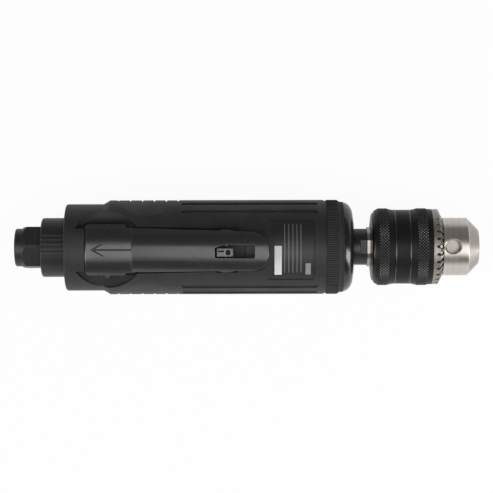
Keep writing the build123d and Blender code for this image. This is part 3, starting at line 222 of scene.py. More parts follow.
# Colours and roughnesses that finishes share, or that one zone or piece has
CAP_DULL_ROUGHNESS = 0.8
LOCK_ROUGHNESS = 0.43
LABEL_ROUGHNESS = 0.46
DUST = (0.3, 0.29, 0.28)
BARE_EDGE = (0.3, 0.29, 0.28)
DULL_STEEL = (0.4, 0.365, 0.335)
BLACK_BACK = (0.05, 0.047, 0.044)
# Painted shadow beside the ring, and painted shade in its gullets
RING_SHADOW = (0.02, 0.019, 0.018)
GULLET_SHADE = (0.015, 0.014, 0.013)
LOCK_STEEL = (0.12, 0.118, 0.115)
LOCK_BRIGHT = (0.42, 0.41, 0.4)
# Painted shade in the lock lever's dimple, and its dark stamped line
LOCK_DARK_MARK = (0.012, 0.012, 0.012)
LABEL_BLACK = (0.011, 0.011, 0.012)
RULE_GREY = (0.2, 0.2, 0.2)
FIELD_GREY = (0.23, 0.23, 0.23)
FIELD_WHITE = (0.62, 0.62, 0.61)
FELT_GREY = (0.2, 0.195, 0.185)
FELT_DUST = (0.4, 0.39, 0.36)
FELT_ROUGHNESS = 0.95
FELT_SHEEN = 0.25

# Floor and sky: how bright the camera and the reflections see them, the floor in reflections darker to the
# far side as a painted shadow
TOOL_MIDDLE = 108.5 * MM
FLOOR_SIZE = 6.0
FLOOR_HEIGHT = housing_low[2] - 0.1 * MM
FLOOR_GREY = (0.82, 0.82, 0.82, 1.0)
FLOOR_ROUGHNESS = 0.9
FLOOR_SEEN = 0.95
# Floor's glow in reflections: lit level, then the painted shadow's level on the far side, over this span of Y
FLOOR_MIRRORED_LIT_AND_SHADED = (0.75, 0.25)
PAINTED_SHADOW_SPAN = (0.0, 0.05)
SKY_WHITE = (1.0, 1.0, 1.0, 1.0)
SKY_LIGHT = 0.11

# Lamps: place and aim from the tool's middle, width, depth and brightness
AT_TOOL = (0.0, 0.0, 0.0)
LAMPS = (
    ("overhead_softbox", (-0.06, -0.15, 0.9), (-0.06, -0.15, 0.0), 0.66, 0.72, 2.0),
    ("ceiling", (0.0, -0.28, 1.4), (0.0, -0.28, 0.0), 2.2, 1.06, 0.48),
    ("near_fill", (0.0, -0.95, 0.2), AT_TOOL, 1.4, 0.42, 1.0),
    ("front_strip", (1.0, -0.3, 0.42), AT_TOOL, 0.42, 0.85, 8.0),
    ("rear_strip", (-1.0, -0.3, 0.5), AT_TOOL, 0.4, 1.0, 4.5),
    ("far_fill", (0.0, 0.9, 0.45), AT_TOOL, 1.2, 0.5, 0.1),
)

# Photo's view
VIEW_DISTANCE = 0.9
VIEW_TILT = math.radians(4.0)
VIEW_RISE = 0.25 * MM
VIEW_ROLL = math.radians(-0.13)
VIEW_LENS = 139.8
VIEW_SENSOR = 36.0


# Working in edit mode

def object_mode():
    bpy.ops.object.mode_set(mode="OBJECT")


def pick_none():
    if bpy.context.object and bpy.context.object.mode != "OBJECT":
        object_mode()
    bpy.ops.object.select_all(action="DESELECT")


def pick(piece):
    pick_none()
    piece.select_set(True)
    bpy.context.view_layer.objects.active = piece


def named(name):
    """The primitive just added, under its own name and with its place in its mesh."""
    piece = bpy.context.object
    piece.name = name
    piece.data.name = name
    bpy.ops.object.transform_apply(location=True, rotation=True, scale=True)
    return piece


def block(name, middle, size):
    """A box of the given size round its middle."""
    pick_none()
    bpy.ops.mesh.primitive_cube_add(size=1.0, location=middle, scale=size)
    return named(name)


def round_bar(name, radius, start, end, facets, ends="NGON"):
    """A cylinder on the tool's axis between two stations."""
    pick_none()
    bpy.ops.mesh.primitive_cylinder_add(vertices=facets, radius=radius, depth=end - start,
                                        end_fill_type=ends, location=((start + end) / 2, 0, 0),
                                        rotation=(0, math.pi / 2, 0))
    return named(name)


def anywhere(at):
    return True


def choose(piece, kind, test):
    """Edit mode on a piece with only the corners, edges or faces whose middle passes the test selected."""
    pick(piece)
    bpy.ops.object.mode_set(mode="EDIT")
    bpy.ops.mesh.select_mode(type=kind)
    bpy.ops.mesh.select_all(action="DESELECT")
    object_mode()
    mesh = piece.data
    if kind == "VERT":
        for corner in mesh.vertices:
            corner.select = test(corner.co)
    elif kind == "EDGE":
        for edge in mesh.edges:
            a, b = (mesh.vertices[i].co for i in edge.vertices)
            edge.select = test((a + b) / 2)
    else:
        for face in mesh.polygons:
            face.select = test(face.center)
    bpy.ops.object.mode_set(mode="EDIT")


def apply(piece, modifier):
    pick(piece)
    bpy.ops.object.modifier_apply(modifier=modifier.name)


def tidy_normals(piece, merge=WELD):
    pick(piece)
    bpy.ops.object.mode_set(mode="EDIT")
    bpy.ops.mesh.select_all(action="SELECT")
    bpy.ops.mesh.remove_doubles(threshold=merge)
    bpy.ops.mesh.normals_make_consistent(inside=False)
    object_mode()


def smooth(piece, angle=SMOOTH_ANGLE):
    pick(piece)
    bpy.ops.object.shade_smooth_by_angle(angle=math.radians(angle))


def thicken(piece, thickness, offset):
    wall = piece.modifiers.new("thickness", "SOLIDIFY")
    wall.thickness = thickness
    wall.offset = offset
    apply(piece, wall)


def dress(piece, body, finish):
    piece.data.materials.clear()
    piece.data.materials.append(finish)
    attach(piece, body)


def welded_copy(node, name):
    """A CAD piece's mesh as a new piece, with its loose triangles joined."""
    piece = bpy.data.objects.new(name, nodes[node].data.copy())
    piece.data.name = name
    bpy.context.scene.collection.objects.link(piece)
    pick(piece)
    bpy.ops.mesh.customdata_custom_splitnormals_clear()
    tidy_normals(piece, NEAR)
    return piece


def join_with(piece, other, way):
    """Cuts the other shape away from the piece, or keeps what both have, and drops the other shape."""
    uncut = piece.data.copy()
    cut = piece.modifiers.new("cut", "BOOLEAN")
    cut.operation = way
    cut.solver = "EXACT"
    cut.object = other
    apply(piece, cut)
    # a small cut that takes half the faces has gone wrong, so the piece stays uncut
    if way == "DIFFERENCE" and len(piece.data.polygons) < len(uncut.polygons) / 2:
        piece.data = uncut
    bpy.data.objects.remove(other)


def step_copies(piece, count, move, turn):
    """Repeats the piece in a row, each copy moved along and turned about the tool's axis."""
    step = bpy.data.objects.new("step", None)
    bpy.context.scene.collection.objects.link(step)
    step.location = (move, 0, 0)
    step.rotation_euler = (turn, 0, 0)
    bpy.context.view_layer.update()
    array = piece.modifiers.new("row", "ARRAY")
    array.use_relative_offset = False
    array.use_object_offset = True
    array.offset_object = step
    array.count = count
    apply(piece, array)
    bpy.data.objects.remove(step)


def stud(name, x, long, wide, low, high, flat):
    """A four-sided stud on top of the tool, open underneath, with a small flat crest."""
    peak = high + (high - low) * flat
    pick_none()
    bpy.ops.mesh.primitive_cone_add(vertices=4, radius1=wide / 2, radius2=0, depth=peak - low,
                                    location=(x, 0, (peak + low) / 2), scale=(long / wide, 1.0, 1.0))
    piece = named(name)
    choose(piece, "VERT", anywhere)
    bpy.ops.mesh.bisect(plane_co=(0, 0, high), plane_no=(0, 0, 1), clear_outer=True, use_fill=True)
    choose(piece, "FACE", lambda at: at.z < low + NEAR)
    bpy.ops.mesh.delete(type="FACE")
    object_mode()
    return piece


# Shader building

def add(tree, kind, **settings):
    made = tree.nodes.new("ShaderNode" + kind)
    for key, value in settings.items():
        setattr(made, key, value)
    return made


def feed(tree, socket, value):
    if isinstance(value, bpy.types.NodeSocket):
        tree.links.new(value, socket)
    else:
        socket.default_value = value


def reckon(tree, operation, a, b=0.0):
    made = add(tree, "Math", operation=operation)
    feed(tree, made.inputs[0], a)
    feed(tree, made.inputs[1], b)
    return made.outputs[0]


def span(tree, value, low, high, to_low=0.0, to_high=1.0):
    """The value stretched from one pair of limits to another, and held at their ends."""
    made = add(tree, "MapRange")
    feed(tree, made.inputs["Value"], value)
    feed(tree, made.inputs["From Min"], low)
    feed(tree, made.inputs["From Max"], high)
    made.inputs["To Min"].default_value = to_low
    made.inputs["To Max"].default_value = to_high
    return made.outputs["Result"]


def between(tree, value, low, high):
    """1 where the value lies between two limits, else 0."""
    above = reckon(tree, "GREATER_THAN", value, low)
    return reckon(tree, "MULTIPLY", above, reckon(tree, "LESS_THAN", value, high))


def tint(tree, share, a, b, way="MIX"):
    """Two colours mixed; each is a socket or three numbers."""
    made = add(tree, "Mix", data_type="RGBA", blend_type=way)
    feed(tree, made.inputs[0], share)
    for socket, colour in ((made.inputs[6], a), (made.inputs[7], b)):
        feed(tree, socket, (*colour, 1.0) if isinstance(colour, tuple) else colour)
    return made.outputs[2]


def toned(tree, colour, effect):
    """A colour made lighter and darker by an effect's tone."""
    return tint(tree, 1.0, colour, effect.outputs["Tone"], "MULTIPLY")


def noise(tree, place, scale, detail, rough):
    made = add(tree, "TexNoise")
    feed(tree, made.inputs["Vector"], place)
    feed(tree, made.inputs["Scale"], scale)
    made.inputs["Detail"].default_value = detail
    made.inputs["Roughness"].default_value = rough
    return made.outputs[0]


def bump(tree, effect, strength, depth, normal):
    made = add(tree, "Bump")
    made.inputs["Strength"].default_value = strength
    made.inputs["Distance"].default_value = depth
    feed(tree, made.inputs["Height"], effect.outputs["Height"])
    feed(tree, made.inputs["Normal"], normal)
    return made.outputs["Normal"]


def place_of(tree):
    return add(tree, "TexCoord").outputs["Object"]


def split_place(tree):
    split = add(tree, "SeparateXYZ")
    feed(tree, split.inputs[0], place_of(tree))
    return split.outputs


def radius_of(tree, place):
    """Distance from the tool's axis."""
    across = reckon(tree, "MULTIPLY", place["Y"], place["Y"])
    up = reckon(tree, "MULTIPLY", place["Z"], place["Z"])
    return reckon(tree, "SQRT", reckon(tree, "ADD", across, up))


def surface_normal(tree):
    return add(tree, "NewGeometry").outputs["Normal"]


def printed_box(tree, place, x, y):
    """1 inside a rectangle seen from above, else 0."""
    return reckon(tree, "MULTIPLY", between(tree, place["X"], *x), between(tree, place["Y"], *y))


def new_group(name, inputs, outputs):
    group = bpy.data.node_groups.new(name, "ShaderNodeTree")
    for label, value in inputs:
        socket = group.interface.new_socket(label, in_out="INPUT", socket_type="NodeSocketFloat")
        socket.default_value = value
    for label, kind in outputs:
        group.interface.new_socket(label, in_out="OUTPUT", socket_type=kind)
    return group, group.nodes.new("NodeGroupInput"), group.nodes.new("NodeGroupOutput")


def use(tree, group, **values):
    made = add(tree, "Group", node_tree=group)
    for key, value in values.items():
        made.inputs[key].default_value = value
    return made


def start_finish(name):
    finish = bpy.data.materials.new(name)
    finish.use_nodes = True
    tree = finish.node_tree
    return finish, tree, tree.nodes["Principled BSDF"]


def smudged(tree, hands, rough, change):
    """Roughness that finger smudges change."""
    return span(tree, hands.outputs["Smudge"], 0.0, 1.0, rough + change[0], rough + change[1])


# Effects that the finishes share

def make_edge_wear_and_highlight():
    """Where handling has rubbed an edge, and the normal of that rounded edge; with Even raised, the mask lies
    along every edge as a painted edge highlight.
    """
    group, given, result = new_group("edge_wear_and_highlight", [("Width", 0.3 * MM), ("Patches", 400.0), ("Even", 0.0)],
                                     [("Mask", "NodeSocketFloat"), ("Normal", "NodeSocketVector")])
    round_edge = add(group, "Bevel", samples=4)
    feed(group, round_edge.inputs["Radius"], given.outputs["Width"])
    dot = add(group, "VectorMath", operation="DOT_PRODUCT")
    feed(group, dot.inputs[0], round_edge.outputs["Normal"])
    feed(group, dot.inputs[1], surface_normal(group))
    turn = span(group, reckon(group, "SUBTRACT", 1.0, dot.outputs["Value"]), *EDGE_TURN)
    patch = noise(group, place_of(group), given.outputs["Patches"], detail=4.0, rough=0.6)
    patch = reckon(group, "MAXIMUM", span(group, patch, *WORN_PATCHES), given.outputs["Even"])
    feed(group, result.inputs["Mask"], reckon(group, "MULTIPLY", turn, patch))
    feed(group, result.inputs["Normal"], round_edge.outputs["Normal"])
    return group


def make_moulded_grain():
    """Fine skin of a moulded piece, with a slow change of tone."""
    group, given, result = new_group("moulded_grain", [("Grain", 2500.0), ("Mottle", 120.0)],
                                     [("Height", "NodeSocketFloat"), ("Tone", "NodeSocketFloat")])
    place = place_of(group)
    fine = noise(group, place, given.outputs["Grain"], detail=3.0, rough=0.6)
    slow = noise(group, place, given.outputs["Mottle"], detail=4.0, rough=0.55)
    height = reckon(group, "ADD", fine, reckon(group, "MULTIPLY", slow, MOTTLE_HEIGHT))
    feed(group, result.inputs["Height"], height)
    feed(group, result.inputs["Tone"], span(group, slow, *MOTTLE_LIMITS, *MOTTLE_TONE))
    return group


def make_turning_marks():
    """Fine rings left by the lathe, the same all round the tool's axis."""
    group, given, result = new_group("turning_marks", [("Pitch", 5000.0)],
                                     [("Height", "NodeSocketFloat"), ("Tone", "NodeSocketFloat")])
    place = split_place(group)
    ring = add(group, "CombineXYZ")
    feed(group, ring.inputs["X"], place["X"])
    feed(group, ring.inputs["Y"], radius_of(group, place))
    cut = noise(group, ring.outputs[0], given.outputs["Pitch"], detail=2.0, rough=0.5)
    broad = reckon(group, "MULTIPLY", given.outputs["Pitch"], BROAD_RING_PITCH)
    band = noise(group, ring.outputs[0], broad, detail=2.0, rough=0.5)
    feed(group, result.inputs["Height"], reckon(group, "ADD", cut, band))
    feed(group, result.inputs["Tone"], span(group, band, *RING_LIMITS, *RING_TONE))
    return group


def make_rubbed_crest():
    """Crests of ribs and studs, rubbed by the height they stand from the tool's axis; on the beads the
    lighter crest is a faint painted highlight.
    """
    group, given, result = new_group("rubbed_crest", [("Low", 17.0 * MM), ("High", 18.0 * MM)],
                                     [("Mask", "NodeSocketFloat")])
    radius = radius_of(group, split_place(group))
    feed(group, result.inputs["Mask"], span(group, radius, given.outputs["Low"], given.outputs["High"]))
    return group


def make_handled():
    """Finger smudges, and dust that has settled on upward faces."""
    group, given, result = new_group("handled", [("Patches", 70.0)],
                                     [("Smudge", "NodeSocketFloat"), ("Dust", "NodeSocketFloat")])
    place = place_of(group)
    smudge = noise(group, place, given.outputs["Patches"], detail=5.0, rough=0.6)
    specks = reckon(group, "MULTIPLY", given.outputs["Patches"], SPECKS_PER_PATCH)
    speck = span(group, noise(group, place, specks, detail=2.0, rough=0.5), *SPECK_LIMITS)
    facing = add(group, "SeparateXYZ")
    feed(group, facing.inputs[0], surface_normal(group))
    upward = span(group, facing.outputs["Z"], *DUSTY_SLOPE)
    dust = reckon(group, "MULTIPLY", speck, reckon(group, "MULTIPLY", upward, smudge))
    feed(group, result.inputs["Smudge"], span(group, smudge, *SMUDGE_LIMITS))
    feed(group, result.inputs["Dust"], dust)
    return group


edge_wear_and_highlight = make_edge_wear_and_highlight()
moulded_grain = make_moulded_grain()
turning_marks = make_turning_marks()
rubbed_crest = make_rubbed_crest()
handled = make_handled()


# Finishes

def moulded(name, colour, rubbed, rough, grain, depth, gloss=0.5, edge=0.35 * MM, wear=0.5, even=0.0):
    """A moulded plastic or rubber piece: grain, rubbed edges, smudges and a little dust; where even is
    raised, as on the lever, the lighter edges are a painted edge highlight as well as wear.
    """
    finish, tree, shader = start_finish(name)
    skin = use(tree, moulded_grain, Grain=grain, Mottle=120.0)
    edge_marks = use(tree, edge_wear_and_highlight, Width=edge, Patches=260.0, Even=even)
    hands = use(tree, handled, Patches=60.0)
    # With even raised, as on the lever, this lighter edge colour is a painted edge highlight as well as wear.
    base = tint(tree, reckon(tree, "MULTIPLY", edge_marks.outputs["Mask"], wear), toned(tree, colour, skin), rubbed)
    base = tint(tree, reckon(tree, "MULTIPLY", hands.outputs["Dust"], DUST_SHARE), base, DUST)
    feed(tree, shader.inputs["Base Color"], base)
    feed(tree, shader.inputs["Roughness"], smudged(tree, hands, rough, PLASTIC_SMUDGE))
    normal = bump(tree, skin, strength=0.5, depth=depth, normal=edge_marks.outputs["Normal"])
    feed(tree, shader.inputs["Normal"], normal)
    shader.inputs["Specular IOR Level"].default_value = gloss
    return finish


def blackened(name, colour, bare, rough, pitch, wear, metal=0.7, gloss=0.5, dull_to=None):
    """Blackened steel: turned, dark, bare where the edges are rubbed, and dull up to a station if told."""
    finish, tree, shader = start_finish(name)
    marks = use(tree, turning_marks, Pitch=pitch)
    edge_marks = use(tree, edge_wear_and_highlight, Width=BLACK_EDGE, Patches=500.0)
    hands = use(tree, handled, Patches=80.0)
    worn = reckon(tree, "MULTIPLY", edge_marks.outputs["Mask"], wear)
    feed(tree, shader.inputs["Base Color"], tint(tree, worn, toned(tree, colour, marks), bare))
    feed(tree, shader.inputs["Metallic"], span(tree, worn, 0.0, 1.0, metal, 1.0))
    roughness = smudged(tree, hands, rough, BLACK_SMUDGE)
    if dull_to:
        dull = reckon(tree, "LESS_THAN", split_place(tree)["X"], dull_to)
        roughness = reckon(tree, "MAXIMUM", roughness, reckon(tree, "MULTIPLY", dull, CAP_DULL_ROUGHNESS))
    feed(tree, shader.inputs["Roughness"], roughness)
    normal = bump(tree, marks, strength=0.35, depth=0.02 * MM, normal=edge_marks.outputs["Normal"])
    feed(tree, shader.inputs["Normal"], normal)
    shader.inputs["Specular IOR Level"].default_value = gloss
    return finish


def crested(name, colour, crest, low, high, rough, metal, gloss):
    """A dark ribbed or studded surface whose crests are lighter: rubbed on ribs and studs, a faint painted
    highlight on the beads.
    """
    finish, tree, shader = start_finish(name)
    edge_marks = use(tree, rubbed_crest, Low=low, High=high)
    skin = use(tree, moulded_grain, Grain=2600.0, Mottle=180.0)
    hands = use(tree, handled, Patches=90.0)
    base = tint(tree, edge_marks.outputs["Mask"], toned(tree, colour, skin), crest)
    feed(tree, shader.inputs["Base Color"], base)
    shader.inputs["Metallic"].default_value = metal
    feed(tree, shader.inputs["Roughness"], smudged(tree, hands, rough, BLACK_SMUDGE))
    shader.inputs["Specular IOR Level"].default_value = gloss
    normal = bump(tree, skin, strength=0.3, depth=0.02 * MM, normal=surface_normal(tree))
    feed(tree, shader.inputs["Normal"], normal)
    return finish


def chuck_zones(tree, base):
    """The chuck's body has a dull hub and key holes, a black back, and a painted shadow line beside the ring.
    """
    place = split_place(tree)
    radius = radius_of(tree, place)
    behind = reckon(tree, "LESS_THAN", place["X"], CHUCK_BACK_END)
    outside = reckon(tree, "GREATER_THAN", radius, CHUCK_HUB_RADIUS)
    bored = reckon(tree, "LESS_THAN", radius, KEY_HOLE_FLOOR)
    bored = reckon(tree, "MULTIPLY", bored, reckon(tree, "GREATER_THAN", place["X"], KEY_HOLE_START))
    base = tint(tree, reckon(tree, "MAXIMUM", behind, bored), base, DULL_STEEL)
    base = tint(tree, reckon(tree, "MULTIPLY", behind, outside), base, BLACK_BACK)
    # Painted shadow line on the body beside the ring's end
    return tint(tree, between(tree, place["X"], *SHADOW_LINE), base, RING_SHADOW)


def shaded_gullets(tree, base):
    """Painted shade between the ring's teeth, darker the deeper it lies under their tops."""
    place = split_place(tree)
    ahead = reckon(tree, "SUBTRACT", RING_RIM, place["X"])
    inward = reckon(tree, "SUBTRACT", RING_RADIUS, radius_of(tree, place))
    depth = reckon(tree, "ADD", reckon(tree, "MULTIPLY", ahead, math.sin(RING_SLOPE)),
                   reckon(tree, "MULTIPLY", inward, math.cos(RING_SLOPE)))
    darkened = span(tree, depth, *GULLET_SHADE_DEPTH)
    inside = reckon(tree, "GREATER_THAN", inward, GULLET_EDGE)
    return tint(tree, reckon(tree, "MULTIPLY", darkened, inside), base, GULLET_SHADE)


def bare_metal(name, colour, dull, rough, pitch, depth, zones=None):
    """Bare turned metal: lathe rings, duller patches, and zones of its own where the piece has them."""
    finish, tree, shader = start_finish(name)
    marks = use(tree, turning_marks, Pitch=pitch)
    edge_marks = use(tree, edge_wear_and_highlight, Width=METAL_EDGE, Patches=600.0)
    hands = use(tree, handled, Patches=90.0)
    dulled = reckon(tree, "MULTIPLY", hands.outputs["Smudge"], DULL_SHARE)
    base = tint(tree, dulled, toned(tree, colour, marks), dull)
    if zones:
        base = zones(tree, base)
    feed(tree, shader.inputs["Base Color"], base)
    shader.inputs["Metallic"].default_value = 1.0
    feed(tree, shader.inputs["Roughness"], smudged(tree, hands, rough, METAL_SMUDGE))
    normal = bump(tree, marks, strength=0.5, depth=depth, normal=edge_marks.outputs["Normal"])
    feed(tree, shader.inputs["Normal"], normal)
    return finish


def make_felt():
    """Grey pressed felt of the exhaust muffler."""
    finish, tree, shader = start_finish("muffler_felt_finish")
    skin = use(tree, moulded_grain, Grain=3500.0, Mottle=700.0)
    hands = use(tree, handled, Patches=150.0)
    base = tint(tree, hands.outputs["Dust"], toned(tree, FELT_GREY, skin), FELT_DUST)
    feed(tree, shader.inputs["Base Color"], base)
    shader.inputs["Roughness"].default_value = FELT_ROUGHNESS
    shader.inputs["Sheen Weight"].default_value = FELT_SHEEN
    normal = bump(tree, skin, strength=0.9, depth=0.25 * MM, normal=surface_normal(tree))
    feed(tree, shader.inputs["Normal"], normal)
    return finish


def make_lock_steel():
    """Dark satin steel with bright rubbed edges, painted shade in the stamped dimple, and a near-black
    stamped line.
    """
    finish, tree, shader = start_finish("lock_finish")
    marks = use(tree, turning_marks, Pitch=3600.0)
    edge_marks = use(tree, edge_wear_and_highlight, Width=LOCK_EDGE, Patches=300.0)
    hands = use(tree, handled, Patches=200.0)
    place = split_place(tree)
    ahead = reckon(tree, "SUBTRACT", place["X"], LOCK_DIMPLE[0])
    aside = reckon(tree, "SUBTRACT", place["Y"], LOCK_DIMPLE[1])
    away = reckon(tree, "ADD", reckon(tree, "MULTIPLY", ahead, ahead),
                  reckon(tree, "MULTIPLY", aside, aside))
    dimple = reckon(tree, "LESS_THAN", reckon(tree, "SQRT", away), LOCK_DIMPLE_RADIUS)
    # Painted shade in the dimple, and the dark stamped line
    darkened = reckon(tree, "MAXIMUM", dimple, printed_box(tree, place, LOCK_LINE_X, LOCK_LINE_Y))
    worn = reckon(tree, "MULTIPLY", edge_marks.outputs["Mask"], LOCK_WEAR)
    base = tint(tree, worn, toned(tree, LOCK_STEEL, marks), LOCK_BRIGHT)
    feed(tree, shader.inputs["Base Color"], tint(tree, darkened, base, LOCK_DARK_MARK))
    shader.inputs["Metallic"].default_value = 1.0
    feed(tree, shader.inputs["Roughness"], smudged(tree, hands, LOCK_ROUGHNESS, LOCK_SMUDGE))
    normal = bump(tree, marks, strength=0.4, depth=0.01 * MM, normal=edge_marks.outputs["Normal"])
    feed(tree, shader.inputs["Normal"], normal)
    return finish


def make_label():
    """Dark printed foil: a blank white field, a small grey one and plain ruled lines."""
    finish, tree, shader = start_finish("label_finish")
    skin = use(tree, moulded_grain, Grain=2400.0, Mottle=160.0)
    hands = use(tree, handled, Patches=110.0)
    place = split_place(tree)
    base = toned(tree, LABEL_BLACK, skin)
    for i in range(RULE_COUNT):
        x = LABEL_START + RULE_FROM_EDGE + i * RULE_PITCH
        base = tint(tree, printed_box(tree, place, (x, x + RULE_WIDTH), RULE_ENDS), base, RULE_GREY)
    base = tint(tree, printed_box(tree, place, GREY_FIELD_X, GREY_FIELD_Y), base, FIELD_GREY)
    base = tint(tree, printed_box(tree, place, WHITE_FIELD_X, WHITE_FIELD_Y), base, FIELD_WHITE)
    feed(tree, shader.inputs["Base Color"], base)
    feed(tree, shader.inputs["Roughness"], smudged(tree, hands, LABEL_ROUGHNESS, PLASTIC_SMUDGE))
    normal = bump(tree, skin, strength=0.3, depth=0.02 * MM, normal=surface_normal(tree))
    feed(tree, shader.inputs["Normal"], normal)
    return finish


CHUCK_STEEL = {"colour": (0.58, 0.54, 0.5), "dull": (0.5, 0.46, 0.425), "rough": 0.33, "pitch": 5200.0,
               "depth": 0.02 * MM}
finishes = {
    "composite": moulded("composite_finish", colour=(0.02, 0.02, 0.021), rubbed=(0.05, 0.05, 0.052),
                         rough=0.52, grain=2600.0, depth=0.04 * MM, gloss=0.35),
    "grip_rubber": moulded("grip_finish", colour=(0.03, 0.03, 0.031), rubbed=(0.06, 0.06, 0.06),
                           rough=0.55, grain=1800.0, depth=0.03 * MM, gloss=0.35),
    "deflector_plastic": moulded("deflector_finish", colour=(0.018, 0.018, 0.019), rubbed=(0.05, 0.05, 0.05),
                                 rough=0.44, grain=3200.0, depth=0.02 * MM, gloss=0.35),
    # The lever's lighter edges, laid evenly along every edge, are a painted edge highlight as well as wear.
    "lever_plastic": moulded("lever_finish", colour=(0.016, 0.016, 0.017), rubbed=(0.15, 0.15, 0.15),
                             rough=0.24, grain=3000.0, depth=0.008 * MM, gloss=0.8, edge=0.3 * MM,
                             wear=0.8, even=0.7),
    "vane_plastic": moulded("vane_finish", colour=(0.16, 0.075, 0.03), rubbed=(0.28, 0.15, 0.08),
                            rough=0.5, grain=2200.0, depth=0.03 * MM),
    "seal_rubber": moulded("seal_finish", colour=(0.013, 0.013, 0.014), rubbed=(0.03, 0.03, 0.03),
                           rough=0.6, grain=2600.0, depth=0.02 * MM, gloss=0.4),
    "cap_black": blackened("cap_finish", colour=(0.008, 0.008, 0.009), bare=(0.2, 0.2, 0.19), rough=0.2,
                           pitch=4200.0, wear=0.2, metal=0.0, gloss=0.6, dull_to=CAP_DULL_TO),
    "black_steel": blackened("black_steel_finish", colour=(0.046, 0.046, 0.047), bare=BARE_EDGE, rough=0.4,
                             pitch=4500.0, wear=0.4),
    "sleeve_black": blackened("sleeve_finish", colour=(0.009, 0.009, 0.01), bare=BARE_EDGE, rough=0.4,
                              pitch=5200.0, wear=0.5, metal=0.0, gloss=0.16),
    "chuck_steel": bare_metal("chuck_steel_finish", **CHUCK_STEEL),
    "bright_steel": bare_metal("bright_steel_finish", colour=(0.46, 0.45, 0.44), dull=(0.36, 0.35, 0.34),
                               rough=0.34, pitch=3600.0, depth=0.01 * MM),
    "gear_steel": bare_metal("gear_steel_finish", colour=(0.42, 0.41, 0.4), dull=(0.3, 0.28, 0.25),
                             rough=0.34, pitch=4200.0, depth=0.01 * MM),
    "plate_iron": bare_metal("plate_iron_finish", colour=(0.3, 0.29, 0.285), dull=(0.22, 0.2, 0.18),
                             rough=0.46, pitch=2400.0, depth=0.02 * MM),
    "brass": bare_metal("brass_finish", colour=(0.66, 0.47, 0.2), dull=(0.42, 0.28, 0.11), rough=0.32,
                        pitch=4200.0, depth=0.01 * MM),
    "muffler_felt": make_felt(),
}
pin_finish = blackened("pin_finish", colour=(0.05, 0.049, 0.048), bare=BARE_EDGE, rough=0.35, pitch=3600.0,
                       wear=0.4, metal=1.0)
own_finishes = {
    "chuck_body": bare_metal("chuck_body_finish", **CHUCK_STEEL, zones=chuck_zones),
    # The ring's gullets get painted shade, darker the deeper they lie.
    "key_ring": bare_metal("key_ring_finish", colour=(0.34, 0.31, 0.285), dull=(0.26, 0.235, 0.21),
                           rough=0.45, pitch=5200.0, depth=0.02 * MM, zones=shaded_gullets),
    "lock_lever": make_lock_steel(),
    "lever_pin": pin_finish,
    "lock_pin": pin_finish,
    "lock_spring": pin_finish,
}
rib_finish = crested("rib_finish", colour=(0.008, 0.008, 0.009), crest=(0.06, 0.06, 0.061),
                     low=RIB_RUBBED_FROM, high=BODY_RADIUS, rough=0.65, metal=0.0, gloss=0.15)
knurl_finish = crested("knurl_finish", colour=(0.004, 0.004, 0.004), crest=(0.11, 0.108, 0.106),
                       low=KNURL_RUBBED_FROM, high=KNURL_ROOT + KNURL_HEIGHT, rough=0.4, metal=0.3, gloss=0.4)
# The beads' slightly lighter crest is a faint painted highlight line.
bead_finish = crested("bead_finish", colour=(0.011, 0.011, 0.012), crest=(0.014, 0.014, 0.015),
                      low=BEAD_RADIUS, high=BEAD_RADIUS + BEAD_HEIGHT, rough=0.22, metal=0.0, gloss=1.0)
label_finish = make_label()

for node in nodes.values():
    for slot in node.material_slots:
        slot.material = finishes[slot.material.name]
for name, finish in own_finishes.items():
    nodes[name].material_slots[0].material = finish


# Pieces

def cap_ribs():
    """Fine ribs round the front cap's band, with rounded crests and sloped ends."""
    pitch = 2 * math.pi * BODY_RADIUS / RIB_COUNT
    foot = BAND_RADIUS - RIB_SUNK
    ribs = block("cap_ribs", (BAND_START + BAND_LENGTH / 2, 0, (foot + BODY_RADIUS) / 2),
                 (RIB_LENGTH, pitch * RIB_FOOT_SHARE, BODY_RADIUS - foot))
    top = BODY_RADIUS - NEAR
    choose(ribs, "FACE", lambda at: at.z > top)
    bpy.ops.transform.resize(value=(1 - RIB_END_SLOPE / RIB_LENGTH, RIB_CREST_SHARE, 1.0))
    choose(ribs, "EDGE", lambda at: at.z > top and abs(at.y) > NEAR)
    bpy.ops.mesh.bevel(offset=RIB_ROUND, segments=2)
    choose(ribs, "FACE", lambda at: at.z < foot + NEAR)
    bpy.ops.mesh.delete(type="FACE")
    object_mode()
    step_copies(ribs, RIB_COUNT, 0, 2 * math.pi / RIB_COUNT)
    smooth(ribs, RIB_SMOOTH_ANGLE)
    dress(ribs, "housing", rib_finish)


def knurl_band(name, start, length):
    """A band of diamond knurl: studs stepped along in a slanted row, and the row repeated all round."""
    width = 2 * math.pi * KNURL_ROOT / KNURL_COUNT
    pitch = length / (KNURL_ROWS + 1)
    band = stud(name, x=start + pitch, long=2 * pitch, wide=width, low=KNURL_ROOT - KNURL_SUNK,
                high=KNURL_ROOT + KNURL_HEIGHT, flat=KNURL_FLAT)
    step_copies(band, KNURL_ROWS, pitch, math.pi / KNURL_COUNT)
    step_copies(band, KNURL_COUNT, 0, 2 * math.pi / KNURL_COUNT)
    dress(band, "chuck_ring", knurl_finish)


def waist_bead(name, x):
    """A rounded ring on the sleeve's waist, half sunk in it."""
    bead = round_bar(name, BEAD_RADIUS + BEAD_HEIGHT, x - BEAD_WIDTH / 2, x + BEAD_WIDTH / 2, FACETS,
                     ends="NOTHING")
    thicken(bead, 2 * BEAD_HEIGHT, -1.0)
    tidy_normals(bead)
    outer = BEAD_RADIUS + BEAD_HEIGHT / 2
    choose(bead, "EDGE", lambda at: math.hypot(at.y, at.z) > outer and abs(at.x - x) > BEAD_RIM)
    bpy.ops.mesh.bevel(offset=BEAD_ROUND, segments=3)
    object_mode()
    smooth(bead)
    dress(bead, "chuck_ring", bead_finish)


